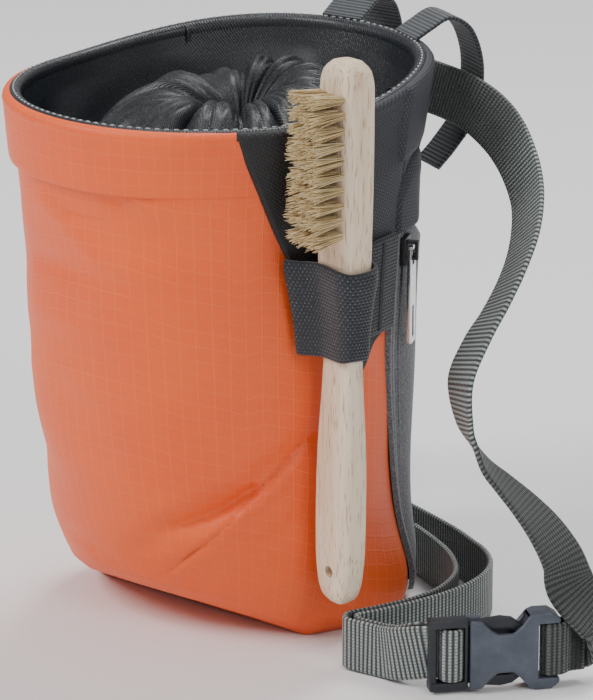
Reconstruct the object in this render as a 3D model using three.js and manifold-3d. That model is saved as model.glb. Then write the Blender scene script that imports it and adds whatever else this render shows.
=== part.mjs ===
// Climbing chalk bag with a boulder brush in its elastic holder and a webbing waist belt.
//
// Units are millimetres and +Z is up. The origin is the middle of the flat of the bag's base, on the
// floor. +Y is the belt side, -Y the front, and +X the side that carries the brush and the zip.
// Angles round the bag are in degrees from +X towards +Y. A height along the bag is a share of
// BAG_HEIGHT, from 0 at the base to 1 at the rim.

import * as THREE from 'three';
import { mergeVertices } from 'three/addons/utils/BufferGeometryUtils.js';
import Module from 'manifold-3d';

const wasm = await Module();
wasm.setup();

// Driving dimensions of the bag
const BAG_HEIGHT = 151;
const RIM_RADIUS = 59;
const RIM_BACK_RISE = 8;
const FRONT_LIFT = 14;
const WALL = 1.6;
const SEAM_GAP = 0.3;
const PANEL_GAP = 0.5;
const PANEL_WALL = 1.2;
const HEM_WALL = 1.8;
const COLLAR_WALL = 2.2;
const POCKET_PAD = 6.5;
const LINING_WALL = 1.2;
const THROAT_RADIUS = 6;

// Driving dimensions of the belt and its loops
const BELT_WIDTH = 15;
const BELT_WALL = 1.6;
const LOOP_WIDTH = 14;
const LOOP_WALL = 1.3;
const LOOP_STANDOFF = 17;
const LOOP_DROP = 38;
const FLOOR_CLEAR = 0.35;

// Driving dimensions of the buckle. The lock is the frame that the belt's free end threads through.
const BUCKLE_LENGTH = 36;
const BUCKLE_SIDE_WALL = 3.5;
const BUCKLE_HEIGHT = BELT_WIDTH + 2 * BUCKLE_SIDE_WALL;
const BUCKLE_THICK = 7;
const BUCKLE_BAR = 2.6;
const LOCK_BAR = 2.1;
const LOCK_END_WALL = 1.0;
const LOCK_HALF_WALL = 2.2;
const PRONG_HALF_WALL = 1.4;
const PRONG_ROOT = 0.6;
const SLOT_WIDTH = BELT_WALL * 2;
const LOADED_SLOT_CLEAR = 0.35;

// Driving dimensions of the brush and its holder
const BRUSH_LENGTH = 154;
const BRUSH_WIDTH = 15;
const BRUSH_THICK = 8.2;
const BRUSH_HOLE = 3.4;
const BRUSH_FOOT = 17;
const BRUSH_CLEAR = 0.6;
const BRISTLE_LENGTH = 12.5;
const BRISTLE_WIDTH = 12.5;
const BRISTLE_BASE = 0.8;
const BRISTLE_ROWS = 10;
const HOLDER_HEIGHT = 27;
const HOLDER_WALL = 1.2;
const HOLDER_CLEAR = 0.45;
const HOLDER_SIDE_STEP = 2.4;
const HOLDER_BELOW_BRISTLES = 1.6;

// Driving dimensions of the zip
const PULL_LENGTH = 28;
const PULL_WIDTH = 6;
const PULL_WALL = 1.1;
const SLIDER_LENGTH = 8;
const SLIDER_WIDTH = 6.4;
const SLIDER_BASE = 1.6;
const SLIDER_BELOW_YOKE = 1.2;
const BRIDGE_WALL = 1.0;
const BRIDGE_SPACE = 1.9;
const BRIDGE_LENGTH = 5.6;
const BRIDGE_WIDTH = 1.6;
const CROSSBAR_UP = 0.9;
const WINDOW_LENGTH = 4.4;
const WINDOW_WIDTH = 2.8;

// Numbers of steps along and round the soft pieces
const ROUND_STEPS = 44;
const FOLD_COUNT = 13;
const STEPS_PER_FOLD = 6;

// Cross sections of the shell up its height. front, back and side are shares of RIM_RADIUS, and
// square is the power of the rounded outline: 2 is an ellipse and more is squarer.
const SECTIONS = [
  { height: 0.0, front: 0.56, back: 0.71, side: 0.69, square: 2.1 },
  { height: 0.02, front: 0.64, back: 0.735, side: 0.75, square: 2.15 },
  { height: 0.08, front: 0.735, back: 0.76, side: 0.8, square: 2.2 },
  { height: 0.19, front: 0.812, back: 0.77, side: 0.828, square: 2.2 },
  { height: 0.33, front: 0.862, back: 0.77, side: 0.84, square: 2.2 },
  { height: 0.6, front: 0.905, back: 0.78, side: 0.85, square: 2.2 },
  { height: 0.8, front: 0.945, back: 0.85, side: 0.865, square: 2.15 },
  { height: 0.88, front: 0.972, back: 0.925, side: 0.885, square: 2.1 },
  { height: 1.0, front: 1.0, back: 0.98, side: 0.935, square: 2.05 },
];

// Soft dents in the front panel. depth is a share of RIM_RADIUS, and across and along are the half
// sizes, in degrees round the bag and as a share of its height. slope turns a dent, in shares of
// height for each degree.
const DENTS = [
  { angle: 322, height: 0.25, depth: 0.045, across: 30, along: 0.035, slope: 0.0047 },
  { angle: 300, height: 0.8, depth: 0.022, across: 24, along: 0.045, slope: -0.001 },
  { angle: 262, height: 0.72, depth: 0.02, across: 26, along: 0.05, slope: 0.0015 },
  { angle: 225, height: 0.3, depth: 0.03, across: 30, along: 0.07, slope: -0.002 },
  { angle: 190, height: 0.62, depth: 0.025, across: 22, along: 0.09, slope: 0.001 },
];

// Borders of the dark side panel, in degrees, up its height
const SIDE_PANEL = [
  { height: 0.49, left: 1, right: 7 },
  { height: 0.52, left: 0, right: 13 },
  { height: 0.565, left: -3, right: 19 },
  { height: 0.58, left: -4.5, right: 27 },
  { height: 0.645, left: -7, right: 27 },
  { height: 0.7, left: -10, right: 27 },
  { height: 0.8, left: -17.5, right: 25.5 },
  { height: 0.88, left: -23, right: 24 },
  { height: 1.0, left: -31.5, right: 23 },
];

// Profile of the gathered lining from the rim in to the throat. reach is a share of the rim's inner
// radius, drop a share of BAG_HEIGHT below the rim, and fold the height of the folds as a share of
// RIM_RADIUS.
const LINING = [
  { reach: 1.0, drop: 0.008, fold: 0.0 },
  { reach: 0.985, drop: 0.055, fold: 0.012 },
  { reach: 0.955, drop: 0.115, fold: 0.022 },
  { reach: 0.89, drop: 0.15, fold: 0.03 },
  { reach: 0.79, drop: 0.13, fold: 0.036 },
  { reach: 0.64, drop: 0.075, fold: 0.04 },
  { reach: 0.49, drop: 0.04, fold: 0.042 },
  { reach: 0.35, drop: 0.028, fold: 0.036 },
  { reach: 0.245, drop: 0.05, fold: 0.02 },
  { reach: 0.17, drop: 0.09, fold: 0.01 },
];

// Brush sections from the hang-hole end to the head, as shares of its length, width and thickness
const BRUSH_SECTIONS = [
  { along: 0.0, width: 0.34, thick: 0.45 },
  { along: 0.012, width: 0.66, thick: 0.75 },
  { along: 0.045, width: 0.88, thick: 0.93 },
  { along: 0.11, width: 1.0, thick: 1.0 },
  { along: 0.28, width: 0.97, thick: 1.0 },
  { along: 0.42, width: 0.82, thick: 0.8 },
  { along: 0.5, width: 0.79, thick: 0.76 },
  { along: 0.57, width: 0.86, thick: 0.98 },
  { along: 0.62, width: 0.95, thick: 1.2 },
  { along: 0.95, width: 0.95, thick: 1.26 },
  { along: 0.985, width: 0.8, thick: 1.1 },
  { along: 1.0, width: 0.5, thick: 0.7 },
];

const radians = THREE.MathUtils.degToRad;

function mapRange(value, from, to) {
  return THREE.MathUtils.clamp((value - from) / (to - from), 0, 1);
}

function smoothStep(value, from, to) {
  const t = mapRange(value, from, to);
  return t * t * (3 - 2 * t);
}

// Reads one column of a table at any place along it, on a smooth curve through the rows
function readTable(table, key, place, column) {
  let row = 0;
  while (row < table.length - 2 && place > table[row + 1][key]) row += 1;
  const before = table[Math.max(row - 1, 0)];
  const from = table[row];
  const to = table[row + 1];
  const after = table[Math.min(row + 2, table.length - 1)];
  const span = to[key] - from[key];
  const t = THREE.MathUtils.clamp((place - from[key]) / span, 0, 1);
  const slopeFrom = (to[column] - before[column]) / (to[key] - before[key]);
  const slopeTo = (after[column] - from[column]) / (after[key] - from[key]);
  const t2 = t * t;
  const t3 = t2 * t;
  return (
    from[column] * (2 * t3 - 3 * t2 + 1) +
    to[column] * (3 * t2 - 2 * t3) +
    span * (slopeFrom * (t3 - 2 * t2 + t) + slopeTo * (t3 - t2))
  );
}

// Solids

// Makes a closed solid from points and triangles, turned so that its faces point out
function solidFrom(points, triangles) {
  let volume = 0;
  for (const [a, b, c] of triangles) {
    volume += points[a].dot(points[b].clone().cross(points[c]));
  }
  const turned = volume < 0 ? triangles.map(([a, b, c]) => [a, c, b]) : triangles;
  const geometry = new THREE.BufferGeometry();
  const positions = points.flatMap((point) => point.toArray());
  geometry.setAttribute('position', new THREE.Float32BufferAttribute(positions, 3));
  geometry.setIndex(turned.flat());
  return geometry;
}

// Joins rings of equal length into a tube. It is closed into a loop, or else its ends are capped.
function tubeSolid(rings, isLoop = false) {
  const count = rings[0].length;
  const points = rings.flat();
  const triangles = [];
  const lastRing = isLoop ? rings.length : rings.length - 1;
  for (let ring = 0; ring < lastRing; ring += 1) {
    const nextRing = (ring + 1) % rings.length;
    for (let side = 0; side < count; side += 1) {
      const next = (side + 1) % count;
      const a = ring * count + side;
      const b = ring * count + next;
      const c = nextRing * count + next;
      const d = nextRing * count + side;
      triangles.push([a, b, c], [a, c, d]);
    }
  }
  if (!isLoop) {
    addFanCap(points, triangles, rings, 0);
    addFanCap(points, triangles, rings, rings.length - 1);
  }
  return solidFrom(points, triangles);
}

function addFanCap(points, triangles, rings, ring) {
  const count = rings[ring].length;
  const middle = new THREE.Vector3();
  for (const point of rings[ring]) middle.addScaledVector(point, 1 / count);
  points.push(middle);
  const centre = points.length - 1;
  for (let side = 0; side < count; side += 1) {
    const a = ring * count + side;
    const b = ring * count + ((side + 1) % count);
    triangles.push(ring === 0 ? [centre, b, a] : [centre, a, b]);
  }
}

// Makes a cloth wall between an inner and an outer face. point(across, up, isOuter) gives a corner
// for shares 0 to 1 across and up the sheet.
function sheetSolid(acrossSteps, upSteps, point) {
  const points = [];
  const triangles = [];
  const columns = acrossSteps + 1;
  const index = (i, j, outer) => outer * columns * (upSteps + 1) + j * columns + i;
  for (const outer of [0, 1]) {
    for (let j = 0; j <= upSteps; j += 1) {
      for (let i = 0; i <= acrossSteps; i += 1) {
        points.push(point(i / acrossSteps, j / upSteps, outer === 1));
      }
    }
  }
  const addQuad = (a, b, c, d) => triangles.push([a, b, c], [a, c, d]);
  for (let j = 0; j < upSteps; j += 1) {
    for (let i = 0; i < acrossSteps; i += 1) {
      addQuad(index(i, j, 1), index(i + 1, j, 1), index(i + 1, j + 1, 1), index(i, j + 1, 1));
      addQuad(index(i, j, 0), index(i, j + 1, 0), index(i + 1, j + 1, 0), index(i + 1, j, 0));
    }
  }
  for (let i = 0; i < acrossSteps; i += 1) {
    addQuad(index(i, 0, 0), index(i + 1, 0, 0), index(i + 1, 0, 1), index(i, 0, 1));
    addQuad(index(i, upSteps, 1), index(i + 1, upSteps, 1), index(i + 1, upSteps, 0), index(i, upSteps, 0));
  }
  for (let j = 0; j < upSteps; j += 1) {
    addQuad(index(0, j, 1), index(0, j + 1, 1), index(0, j + 1, 0), index(0, j, 0));
    const side = (up, outer) => index(acrossSteps, up, outer);
    addQuad(side(j, 0), side(j + 1, 0), side(j + 1, 1), side(j, 1));
  }
  return solidFrom(points, triangles);
}

// Sweeps a strap along stations, each with its middle and the direction of its width. stretch is the
// share of the route that the piece covers.
function strapSolid(stations, width, wall, steps, stretch = [0, 1]) {
  const route = new THREE.CatmullRomCurve3(stations.map((station) => station.middle), false, 'centripetal');
  const widths = new THREE.CatmullRomCurve3(stations.map((station) => station.across));
  const rings = [];
  for (let step = 0; step <= steps; step += 1) {
    const t = THREE.MathUtils.lerp(...stretch, step / steps);
    const middle = route.getPoint(t);
    const along = route.getTangent(t);
    const across = widths.getPoint(t);
    across.addScaledVector(along, -across.dot(along)).normalize();
    const normal = along.clone().cross(across).normalize();
    const corner = (side, face) =>
      middle
        .clone()
        .addScaledVector(across, (side * width) / 2)
        .addScaledVector(normal, (face * wall) / 2);
    rings.push([corner(-1, -1), corner(1, -1), corner(1, 1), corner(-1, 1)]);
  }
  return tubeSolid(rings);
}

function toManifold(geometry) {
  const bare = geometry.clone();
  bare.deleteAttribute('normal');
  bare.deleteAttribute('uv');
  const merged = mergeVertices(bare, 1e-4);
  return new wasm.Manifold(
    new wasm.Mesh({
      numProp: 3,
      vertProperties: new Float32Array(merged.attributes.position.array),
      triVerts: new Uint32Array(merged.index.array),
    }),
  );
}

function fromManifold(solid) {
  const mesh = solid.getMesh();
  const geometry = new THREE.BufferGeometry();
  geometry.setAttribute('position', new THREE.Float32BufferAttribute(mesh.vertProperties, 3));
  geometry.setIndex(new THREE.BufferAttribute(mesh.triVerts, 1));
  return geometry;
}

function boxAt(sizeX, sizeY, sizeZ, x, y, z) {
  return new THREE.BoxGeometry(sizeX, sizeY, sizeZ).translate(x, y, z);
}

// The bag's surface

// The rim and what is near it rise towards the back
function backRise(y, height) {
  const back = smoothStep(y, -RIM_RADIUS / 3, RIM_RADIUS);
  return RIM_BACK_RISE * back * height ** 3;
}

// The front of the base lifts off the floor, most of all below the front left
function frontLift(x, y, height) {
  const forward = 0.34 * x - 0.94 * y;
  const share = mapRange(forward, RIM_RADIUS * 0.14, RIM_RADIUS * 0.78);
  return FRONT_LIFT * share ** 1.4 * Math.max(0, 1 - 2 * height);
}

function dentDepth(angle, height) {
  let depth = 0;
  for (const dent of DENTS) {
    const turned = ((angle % 360) + 360) % 360;
    const across = (turned - dent.angle) / dent.across;
    const along = (height - dent.height - dent.slope * (turned - dent.angle)) / dent.along;
    depth += dent.depth * RIM_RADIUS * Math.exp(-(across ** 2) - along ** 2);
  }
  return depth;
}

// A point of the shell's outer face, moved out by offset. reach below 1 moves it in across the base.
function bagPoint(angle, height, offset = 0, reach = 1) {
  const square = readTable(SECTIONS, 'height', height, 'square');
  const side = readTable(SECTIONS, 'height', height, 'side') * RIM_RADIUS;
  const end = readTable(SECTIONS, 'height', height, angleIsBack(angle) ? 'back' : 'front') * RIM_RADIUS;
  const cos = Math.cos(radians(angle));
  const sin = Math.sin(radians(angle));
  const x = side * Math.sign(cos) * Math.abs(cos) ** (2 / square);
  const y = end * Math.sign(sin) * Math.abs(sin) ** (2 / square);
  const length = Math.hypot(x, y);
  const scale = (reach * (length + offset - dentDepth(angle, height))) / length;
  const px = x * scale;
  const py = y * scale;
  const z = height * BAG_HEIGHT + backRise(py, height) + frontLift(px, py, height);
  return new THREE.Vector3(px, py, z);
}

function angleIsBack(angle) {
  return Math.sin(radians(angle)) > 0;
}

function bagRing(height, offset, reach = 1) {
  const ring = [];
  for (let step = 0; step < ROUND_STEPS; step += 1) {
    ring.push(bagPoint((360 * step) / ROUND_STEPS, height, offset, reach));
  }
  return ring;
}

// The shell is a cup of fabric: a base, a wall and an open top
function makeShell() {
  const heights = [0, 0.02, 0.06, 0.12, 0.2, 0.28, 0.38, 0.5, 0.62, 0.71, 0.8, 0.89, 1];
  const baseReaches = [0.2, 0.5, 0.78];
  const outside = [...baseReaches.map((reach) => bagRing(0, 0, reach)), ...heights.map((h) => bagRing(h, 0))];
  const innerHeights = heights.slice(1).reverse();
  const inside = innerHeights.map((height) => bagRing(height, -WALL));
  const floor = baseReaches.map((reach) => raised(bagRing(0, -WALL, reach), WALL)).reverse();
  return tubeSolid([...outside, ...inside, ...floor]);
}

function raised(ring, lift) {
  return ring.map((point) => point.clone().setZ(point.z + lift));
}

// A cloth band on the outside of the shell between two angles and two heights
function makeBand(fromAngle, toAngle, fromHeight, toHeight, inner, outer, acrossSteps, upSteps) {
  return sheetSolid(acrossSteps, upSteps, (across, up, isOuter) => {
    const angle = THREE.MathUtils.lerp(fromAngle, toAngle, across);
    const height = THREE.MathUtils.lerp(fromHeight, toHeight, up);
    const offset = isOuter ? outer(across, up) : inner;
    return bagPoint(angle, height, offset);
  });
}

const HEM_FROM = 0.878;
const COLLAR_FROM = 0.868;
const YOKE_FROM = 0.735;
const POCKET_FROM = 0.03;
const SEAM_SHARE = 0.006;
const PANEL_LEFT_AT_RIM = SIDE_PANEL[SIDE_PANEL.length - 1].left;
const BACK_FROM = 29;
const BACK_TO = 151;
const COLLAR_START = 24.2;
const COLLAR_END = 154;
const ANGLE_GAP = 0.5;

// The hem of the front panel is folded over, so its lower edge stands out and rounds over
function makeFrontHem() {
  const outer = (across, up) => PANEL_GAP + HEM_WALL * (0.75 + 0.25 * Math.sin(Math.PI * up));
  const from = COLLAR_END + 2 * ANGLE_GAP;
  const to = 360 + PANEL_LEFT_AT_RIM - ANGLE_GAP;
  return makeBand(from, to, HEM_FROM, 1, PANEL_GAP, outer, 32, 3);
}

function makeSidePanel() {
  const rows = SIDE_PANEL.map((row) => row.height);
  return sheetSolid(8, rows.length - 1, (across, up, isOuter) => {
    const row = SIDE_PANEL[Math.round(up * (rows.length - 1))];
    const angle = THREE.MathUtils.lerp(row.left, row.right, across);
    return bagPoint(angle, row.height, isOuter ? PANEL_GAP + PANEL_WALL : PANEL_GAP);
  });
}

function makeCollar() {
  const outer = (across, up) => PANEL_GAP + COLLAR_WALL * (0.7 + 0.3 * Math.sin(Math.PI * up));
  return makeBand(COLLAR_START, COLLAR_END, COLLAR_FROM, 1, PANEL_GAP, outer, 24, 3);
}

// Height of the padding over the shell, from a thin seam at its edges to its full height
function padHeight(fromEdge, edgeWidth) {
  const share = Math.sin((Math.PI / 2) * Math.min(1, fromEdge / edgeWidth));
  return PANEL_WALL + (POCKET_PAD - PANEL_WALL) * share;
}

const ZIP_TO = 42;
const GARAGE_TO = 62;

function makePocket() {
  const from = ZIP_TO + ANGLE_GAP;
  const outer = (across, up) => {
    const sideEdge = padHeight(Math.min(across, 1 - across), 0.16);
    const endEdge = padHeight(Math.min(up, 1 - up), 0.07);
    return PANEL_GAP + Math.min(sideEdge, endEdge);
  };
  return makeBand(from, BACK_TO, POCKET_FROM, YOKE_FROM - SEAM_SHARE, PANEL_GAP, outer, 14, 10);
}

function yokeOffset(angle, up) {
  const fromSide = Math.min(angle - BACK_FROM, BACK_TO - angle) / 12;
  const side = PANEL_WALL + (POCKET_PAD * 0.55 - PANEL_WALL) * THREE.MathUtils.clamp(fromSide, 0, 1);
  const top = 1 - 0.5 * up;
  return PANEL_GAP + Math.max(PANEL_WALL, side * top);
}

function makeYoke() {
  const from = GARAGE_TO + ANGLE_GAP;
  const outer = (across, up) => yokeOffset(THREE.MathUtils.lerp(from, BACK_TO, across), up);
  return makeBand(from, BACK_TO, YOKE_FROM, COLLAR_FROM - SEAM_SHARE, PANEL_GAP, outer, 14, 3);
}

function makeZipGarage() {
  const outer = (across, up) => yokeOffset(THREE.MathUtils.lerp(BACK_FROM, GARAGE_TO, across), up);
  return makeBand(BACK_FROM, GARAGE_TO, YOKE_FROM, COLLAR_FROM - SEAM_SHARE, PANEL_GAP, outer, 8, 4);
}

function makeZipTape() {
  const outer = () => PANEL_GAP + PANEL_WALL;
  return makeBand(BACK_FROM, ZIP_TO, POCKET_FROM, YOKE_FROM - SEAM_SHARE, PANEL_GAP, outer, 3, 12);
}

// The gathered lining

const GATHER_X = RIM_RADIUS * 0.07;
const GATHER_Y = -RIM_RADIUS * 0.02;

// The side of the lining's profile that faces the open air, as a part out from the middle and a part up
function liningFace(row) {
  const next = LINING[Math.min(row + 1, LINING.length - 1)];
  const before = LINING[Math.max(row - 1, 0)];
  const outward = (next.reach - before.reach) * RIM_RADIUS;
  const upward = (before.drop - next.drop) * BAG_HEIGHT;
  const length = Math.hypot(outward, upward);
  return { outward: upward / length, upward: -outward / length };
}

// A point on the lining, depth below its open face. Folds stand up from the profile.
function liningPoint(row, angle, depth) {
  const { reach, drop, fold } = LINING[row];
  const rim = bagPoint(angle, 1 - drop, -WALL - PANEL_GAP - LINING_WALL);
  const rimLength = Math.hypot(rim.x, rim.y);
  const isThroat = row === LINING.length - 1;
  const wave = Math.cos(radians(angle) * FOLD_COUNT + 2.2 * reach);
  const push = (fold * RIM_RADIUS * (1 + wave)) / 2 - depth;
  const face = liningFace(row);
  const radius = (isThroat ? THROAT_RADIUS : rimLength * reach) + push * face.outward;
  const offCentre = 1 - reach;
  const x = (rim.x / rimLength) * radius + GATHER_X * offCentre;
  const y = (rim.y / rimLength) * radius + GATHER_Y * offCentre;
  const z = BAG_HEIGHT * (1 - drop) + backRise(y, 1) + push * face.upward;
  return new THREE.Vector3(x, y, z);
}

function makeLining() {
  const steps = FOLD_COUNT * STEPS_PER_FOLD;
  const ring = (row, depth) =>
    Array.from({ length: steps }, (_, step) => liningPoint(row, (360 * step) / steps, depth));
  const rows = LINING.map((_, row) => row);
  const top = rows.map((row) => ring(row, 0));
  const under = rows.reverse().map((row) => ring(row, LINING_WALL));
  return tubeSolid([...top, ...under], true);
}

// The brush

// Middle of the brush's section at a share of its length. It leans out from the bag and forward.
const BRUSH_SIDE_OUT = SECTIONS[4].side * RIM_RADIUS + PANEL_GAP + PANEL_WALL;
const BRUSH_TOP_OUT = SECTIONS[8].side * RIM_RADIUS + PANEL_GAP + PANEL_WALL;
const BRUSH_Y = -RIM_RADIUS * 0.073;
const BRUSH_LEAN_FORWARD = RIM_RADIUS * 0.05;

function brushPoint(along) {
  const rimShare = (BAG_HEIGHT - BRUSH_FOOT) / BRUSH_LENGTH;
  const foot = BRUSH_SIDE_OUT + BRUSH_CLEAR + BRUSH_WIDTH / 2;
  const top = BRUSH_TOP_OUT + BRUSH_CLEAR + BRUSH_WIDTH / 2;
  const x = foot + ((top - foot) * along) / rimShare;
  return new THREE.Vector3(x, BRUSH_Y - BRUSH_LEAN_FORWARD * along, BRUSH_FOOT + BRUSH_LENGTH * along);
}

function brushRing(section, sides) {
  const middle = brushPoint(section.along);
  const ring = [];
  for (let side = 0; side < sides; side += 1) {
    const turn = (2 * Math.PI * (side + 0.5)) / sides;
    const cos = Math.cos(turn);
    const sin = Math.sin(turn);
    const power = 2 / 3.4;
    const x = (Math.sign(cos) * Math.abs(cos) ** power * section.width * BRUSH_WIDTH) / 2;
    const y = (Math.sign(sin) * Math.abs(sin) ** power * section.thick * BRUSH_THICK) / 2;
    ring.push(middle.clone().add(new THREE.Vector3(x, y, 0)));
  }
  return ring;
}

function makeBrushHandle() {
  const wood = tubeSolid(BRUSH_SECTIONS.map((section) => brushRing(section, 16)));
  const holeAt = brushPoint(0.062);
  const hole = new THREE.CylinderGeometry(BRUSH_HOLE / 2, BRUSH_HOLE / 2, BRUSH_THICK * 2, 16);
  hole.translate(holeAt.x, holeAt.y, holeAt.z);
  return fromManifold(toManifold(wood).subtract(toManifold(hole)));
}

// Bristles in rows of tufts that stand on one thin base along the head's front face
const BRISTLES_FROM = 0.61;
const BRISTLES_TO = 0.95;

function makeBristles() {
  const pitch = ((BRISTLES_TO - BRISTLES_FROM) * BRUSH_LENGTH) / BRISTLE_ROWS;
  const root = pitch * 0.3;
  const tip = pitch * 0.46;
  const outline = new THREE.Shape();
  outline.moveTo(0, 0);
  for (let row = 0; row < BRISTLE_ROWS; row += 1) {
    const middle = pitch * (row + 0.5);
    outline.lineTo(middle - root, BRISTLE_BASE);
    outline.lineTo(middle - tip, BRISTLE_LENGTH);
    outline.lineTo(middle + tip, BRISTLE_LENGTH);
    outline.lineTo(middle + root, BRISTLE_BASE);
  }
  outline.lineTo(pitch * BRISTLE_ROWS, 0);
  const geometry = new THREE.ExtrudeGeometry(outline, { depth: BRISTLE_WIDTH, bevelEnabled: false });
  const foot = brushPoint(BRISTLES_FROM);
  const head = brushPoint(BRISTLES_TO);
  const headSection = BRUSH_SECTIONS[9];
  const up = head.clone().sub(foot).normalize();
  const out = new THREE.Vector3(0, -1, 0);
  out.addScaledVector(up, -out.dot(up)).normalize();
  const side = up.clone().cross(out);
  const frontFace = (headSection.thick * BRUSH_THICK) / 2 + SEAM_GAP;
  const origin = foot.clone().addScaledVector(out, frontFace).addScaledVector(side, -BRISTLE_WIDTH / 2);
  geometry.applyMatrix4(new THREE.Matrix4().makeBasis(up, out, side).setPosition(origin));
  return geometry;
}

// The elastic holder lies on the side panel just below the bristles, goes out round the handle and
// comes back
const HOLDER_TOP = brushPoint(BRISTLES_FROM).z - HOLDER_BELOW_BRISTLES;
const HOLDER_TO = 26;

function holderMiddle(height, up) {
  const along = (height * BAG_HEIGHT - BRUSH_FOOT) / BRUSH_LENGTH;
  const middle = brushPoint(along);
  const toHolder = HOLDER_CLEAR + HOLDER_WALL / 2;
  const halfWidth = (readTable(BRUSH_SECTIONS, 'along', along, 'width') * BRUSH_WIDTH) / 2 + toHolder;
  const halfThick = (readTable(BRUSH_SECTIONS, 'along', along, 'thick') * BRUSH_THICK) / 2 + toHolder;
  const onBag = PANEL_GAP + PANEL_WALL + PANEL_GAP + HOLDER_WALL / 2;
  const angleAt = (y) => THREE.MathUtils.radToDeg(Math.asin(y / bagPoint(0, height).x));
  const frontAngle = angleAt(middle.y - halfThick - HOLDER_SIDE_STEP);
  const backAngle = angleAt(middle.y + halfThick + HOLDER_SIDE_STEP);
  const startAngle = Math.min(THREE.MathUtils.lerp(-5.5, -12, up), frontAngle - 1);
  const plan = [
    bagPoint(startAngle, height, onBag),
    bagPoint(frontAngle, height, onBag + HOLDER_WALL),
    new THREE.Vector3(middle.x - halfWidth * 0.55, middle.y - halfThick, 0),
    new THREE.Vector3(middle.x + halfWidth * 0.7, middle.y - halfThick, 0),
    new THREE.Vector3(middle.x + halfWidth, middle.y - halfThick * 0.6, 0),
    new THREE.Vector3(middle.x + halfWidth, middle.y + halfThick * 0.6, 0),
    new THREE.Vector3(middle.x + halfWidth * 0.7, middle.y + halfThick, 0),
    new THREE.Vector3(middle.x - halfWidth * 0.55, middle.y + halfThick, 0),
    bagPoint(backAngle, height, onBag + HOLDER_WALL),
    bagPoint((backAngle + HOLDER_TO) / 2, height, onBag),
    bagPoint(HOLDER_TO, height, onBag),
  ];
  for (const point of plan) point.z = height * BAG_HEIGHT;
  return plan;
}

function makeBrushHolder() {
  const steps = 26;
  const rows = 3;
  return sheetSolid(steps, rows, (across, up, isOuter) => {
    const height = (HOLDER_TOP - (1 - up) * HOLDER_HEIGHT) / BAG_HEIGHT;
    const curve = new THREE.CatmullRomCurve3(holderMiddle(height, up), false, 'centripetal');
    const point = curve.getPoint(across);
    const along = curve.getTangent(across).setZ(0).normalize();
    const normal = new THREE.Vector3(along.y, -along.x, 0);
    return point.addScaledVector(normal, ((isOuter ? 1 : -1) * HOLDER_WALL) / 2);
  });
}

// The belt loops on the rim

// Loop stations: out is a share of LOOP_STANDOFF from the collar, and height a share of the loop's drop
const LOOP_ANGLES = { belt_loop_right: 75, belt_loop_left: 105 };
const LOOP_STATIONS = [
  { out: -0.22, height: 0.0 },
  { out: 0.05, height: 0.07 },
  { out: 0.4, height: 0.14 },
  { out: 0.75, height: 0.06 },
  { out: 0.96, height: -0.14 },
  { out: 1.0, height: -0.38 },
  { out: 0.86, height: -0.64 },
  { out: 0.5, height: -0.86 },
  { out: 0.2, height: -1.0 },
];

function makeBeltLoop(angle) {
  const collar = bagPoint(angle, 1, PANEL_GAP + COLLAR_WALL);
  const outward = new THREE.Vector3(collar.x, collar.y, 0).normalize();
  const across = new THREE.Vector3(-outward.y, outward.x, 0);
  const stations = LOOP_STATIONS.map((station) => ({
    middle: collar
      .clone()
      .addScaledVector(outward, station.out * LOOP_STANDOFF)
      .setZ(collar.z + SEAM_GAP + LOOP_WALL / 2 + station.height * LOOP_DROP),
    across,
  }));
  return strapSolid(stations, LOOP_WIDTH, LOOP_WALL, 22);
}

// The buckle. along runs from the ladder lock to the belt's sewn end, out faces away from the bag,
// and up is height over the buckle's middle.

const BUCKLE_AT = new THREE.Vector3(1.737 * RIM_RADIUS, 0.246 * RIM_RADIUS, BUCKLE_HEIGHT / 2);
const BUCKLE_TURN = 63;
const BUCKLE_ALONG = new THREE.Vector3(Math.cos(radians(BUCKLE_TURN)), Math.sin(radians(BUCKLE_TURN)), 0);
const BUCKLE_OUT = new THREE.Vector3(BUCKLE_ALONG.y, -BUCKLE_ALONG.x, 0);
const UP = new THREE.Vector3(0, 0, 1);
const SLOT_HALF = BELT_WIDTH / 2 + SEAM_GAP;
const BAR_HALF_WALL = BUCKLE_BAR / 2;
const BUCKLE_HALF = BUCKLE_LENGTH / 2;

// The lock's bars and slots, along the buckle from its outer end
const OUTER_SLOT_FROM = -BUCKLE_HALF + LOCK_BAR;
const OUTER_SLOT_TO = OUTER_SLOT_FROM + SLOT_WIDTH;
const INNER_SLOT_FROM = OUTER_SLOT_TO + LOCK_BAR;
const INNER_SLOT_TO = INNER_SLOT_FROM + BELT_WALL + 2 * LOADED_SLOT_CLEAR;
const LOCK_TO = INNER_SLOT_TO + LOCK_END_WALL;
const LOCK_HALF = 0.455 * BUCKLE_HEIGHT;

function buckleSpot(along, out, up) {
  return BUCKLE_AT.clone()
    .addScaledVector(BUCKLE_ALONG, along)
    .addScaledVector(BUCKLE_OUT, out)
    .addScaledVector(UP, up);
}

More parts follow.
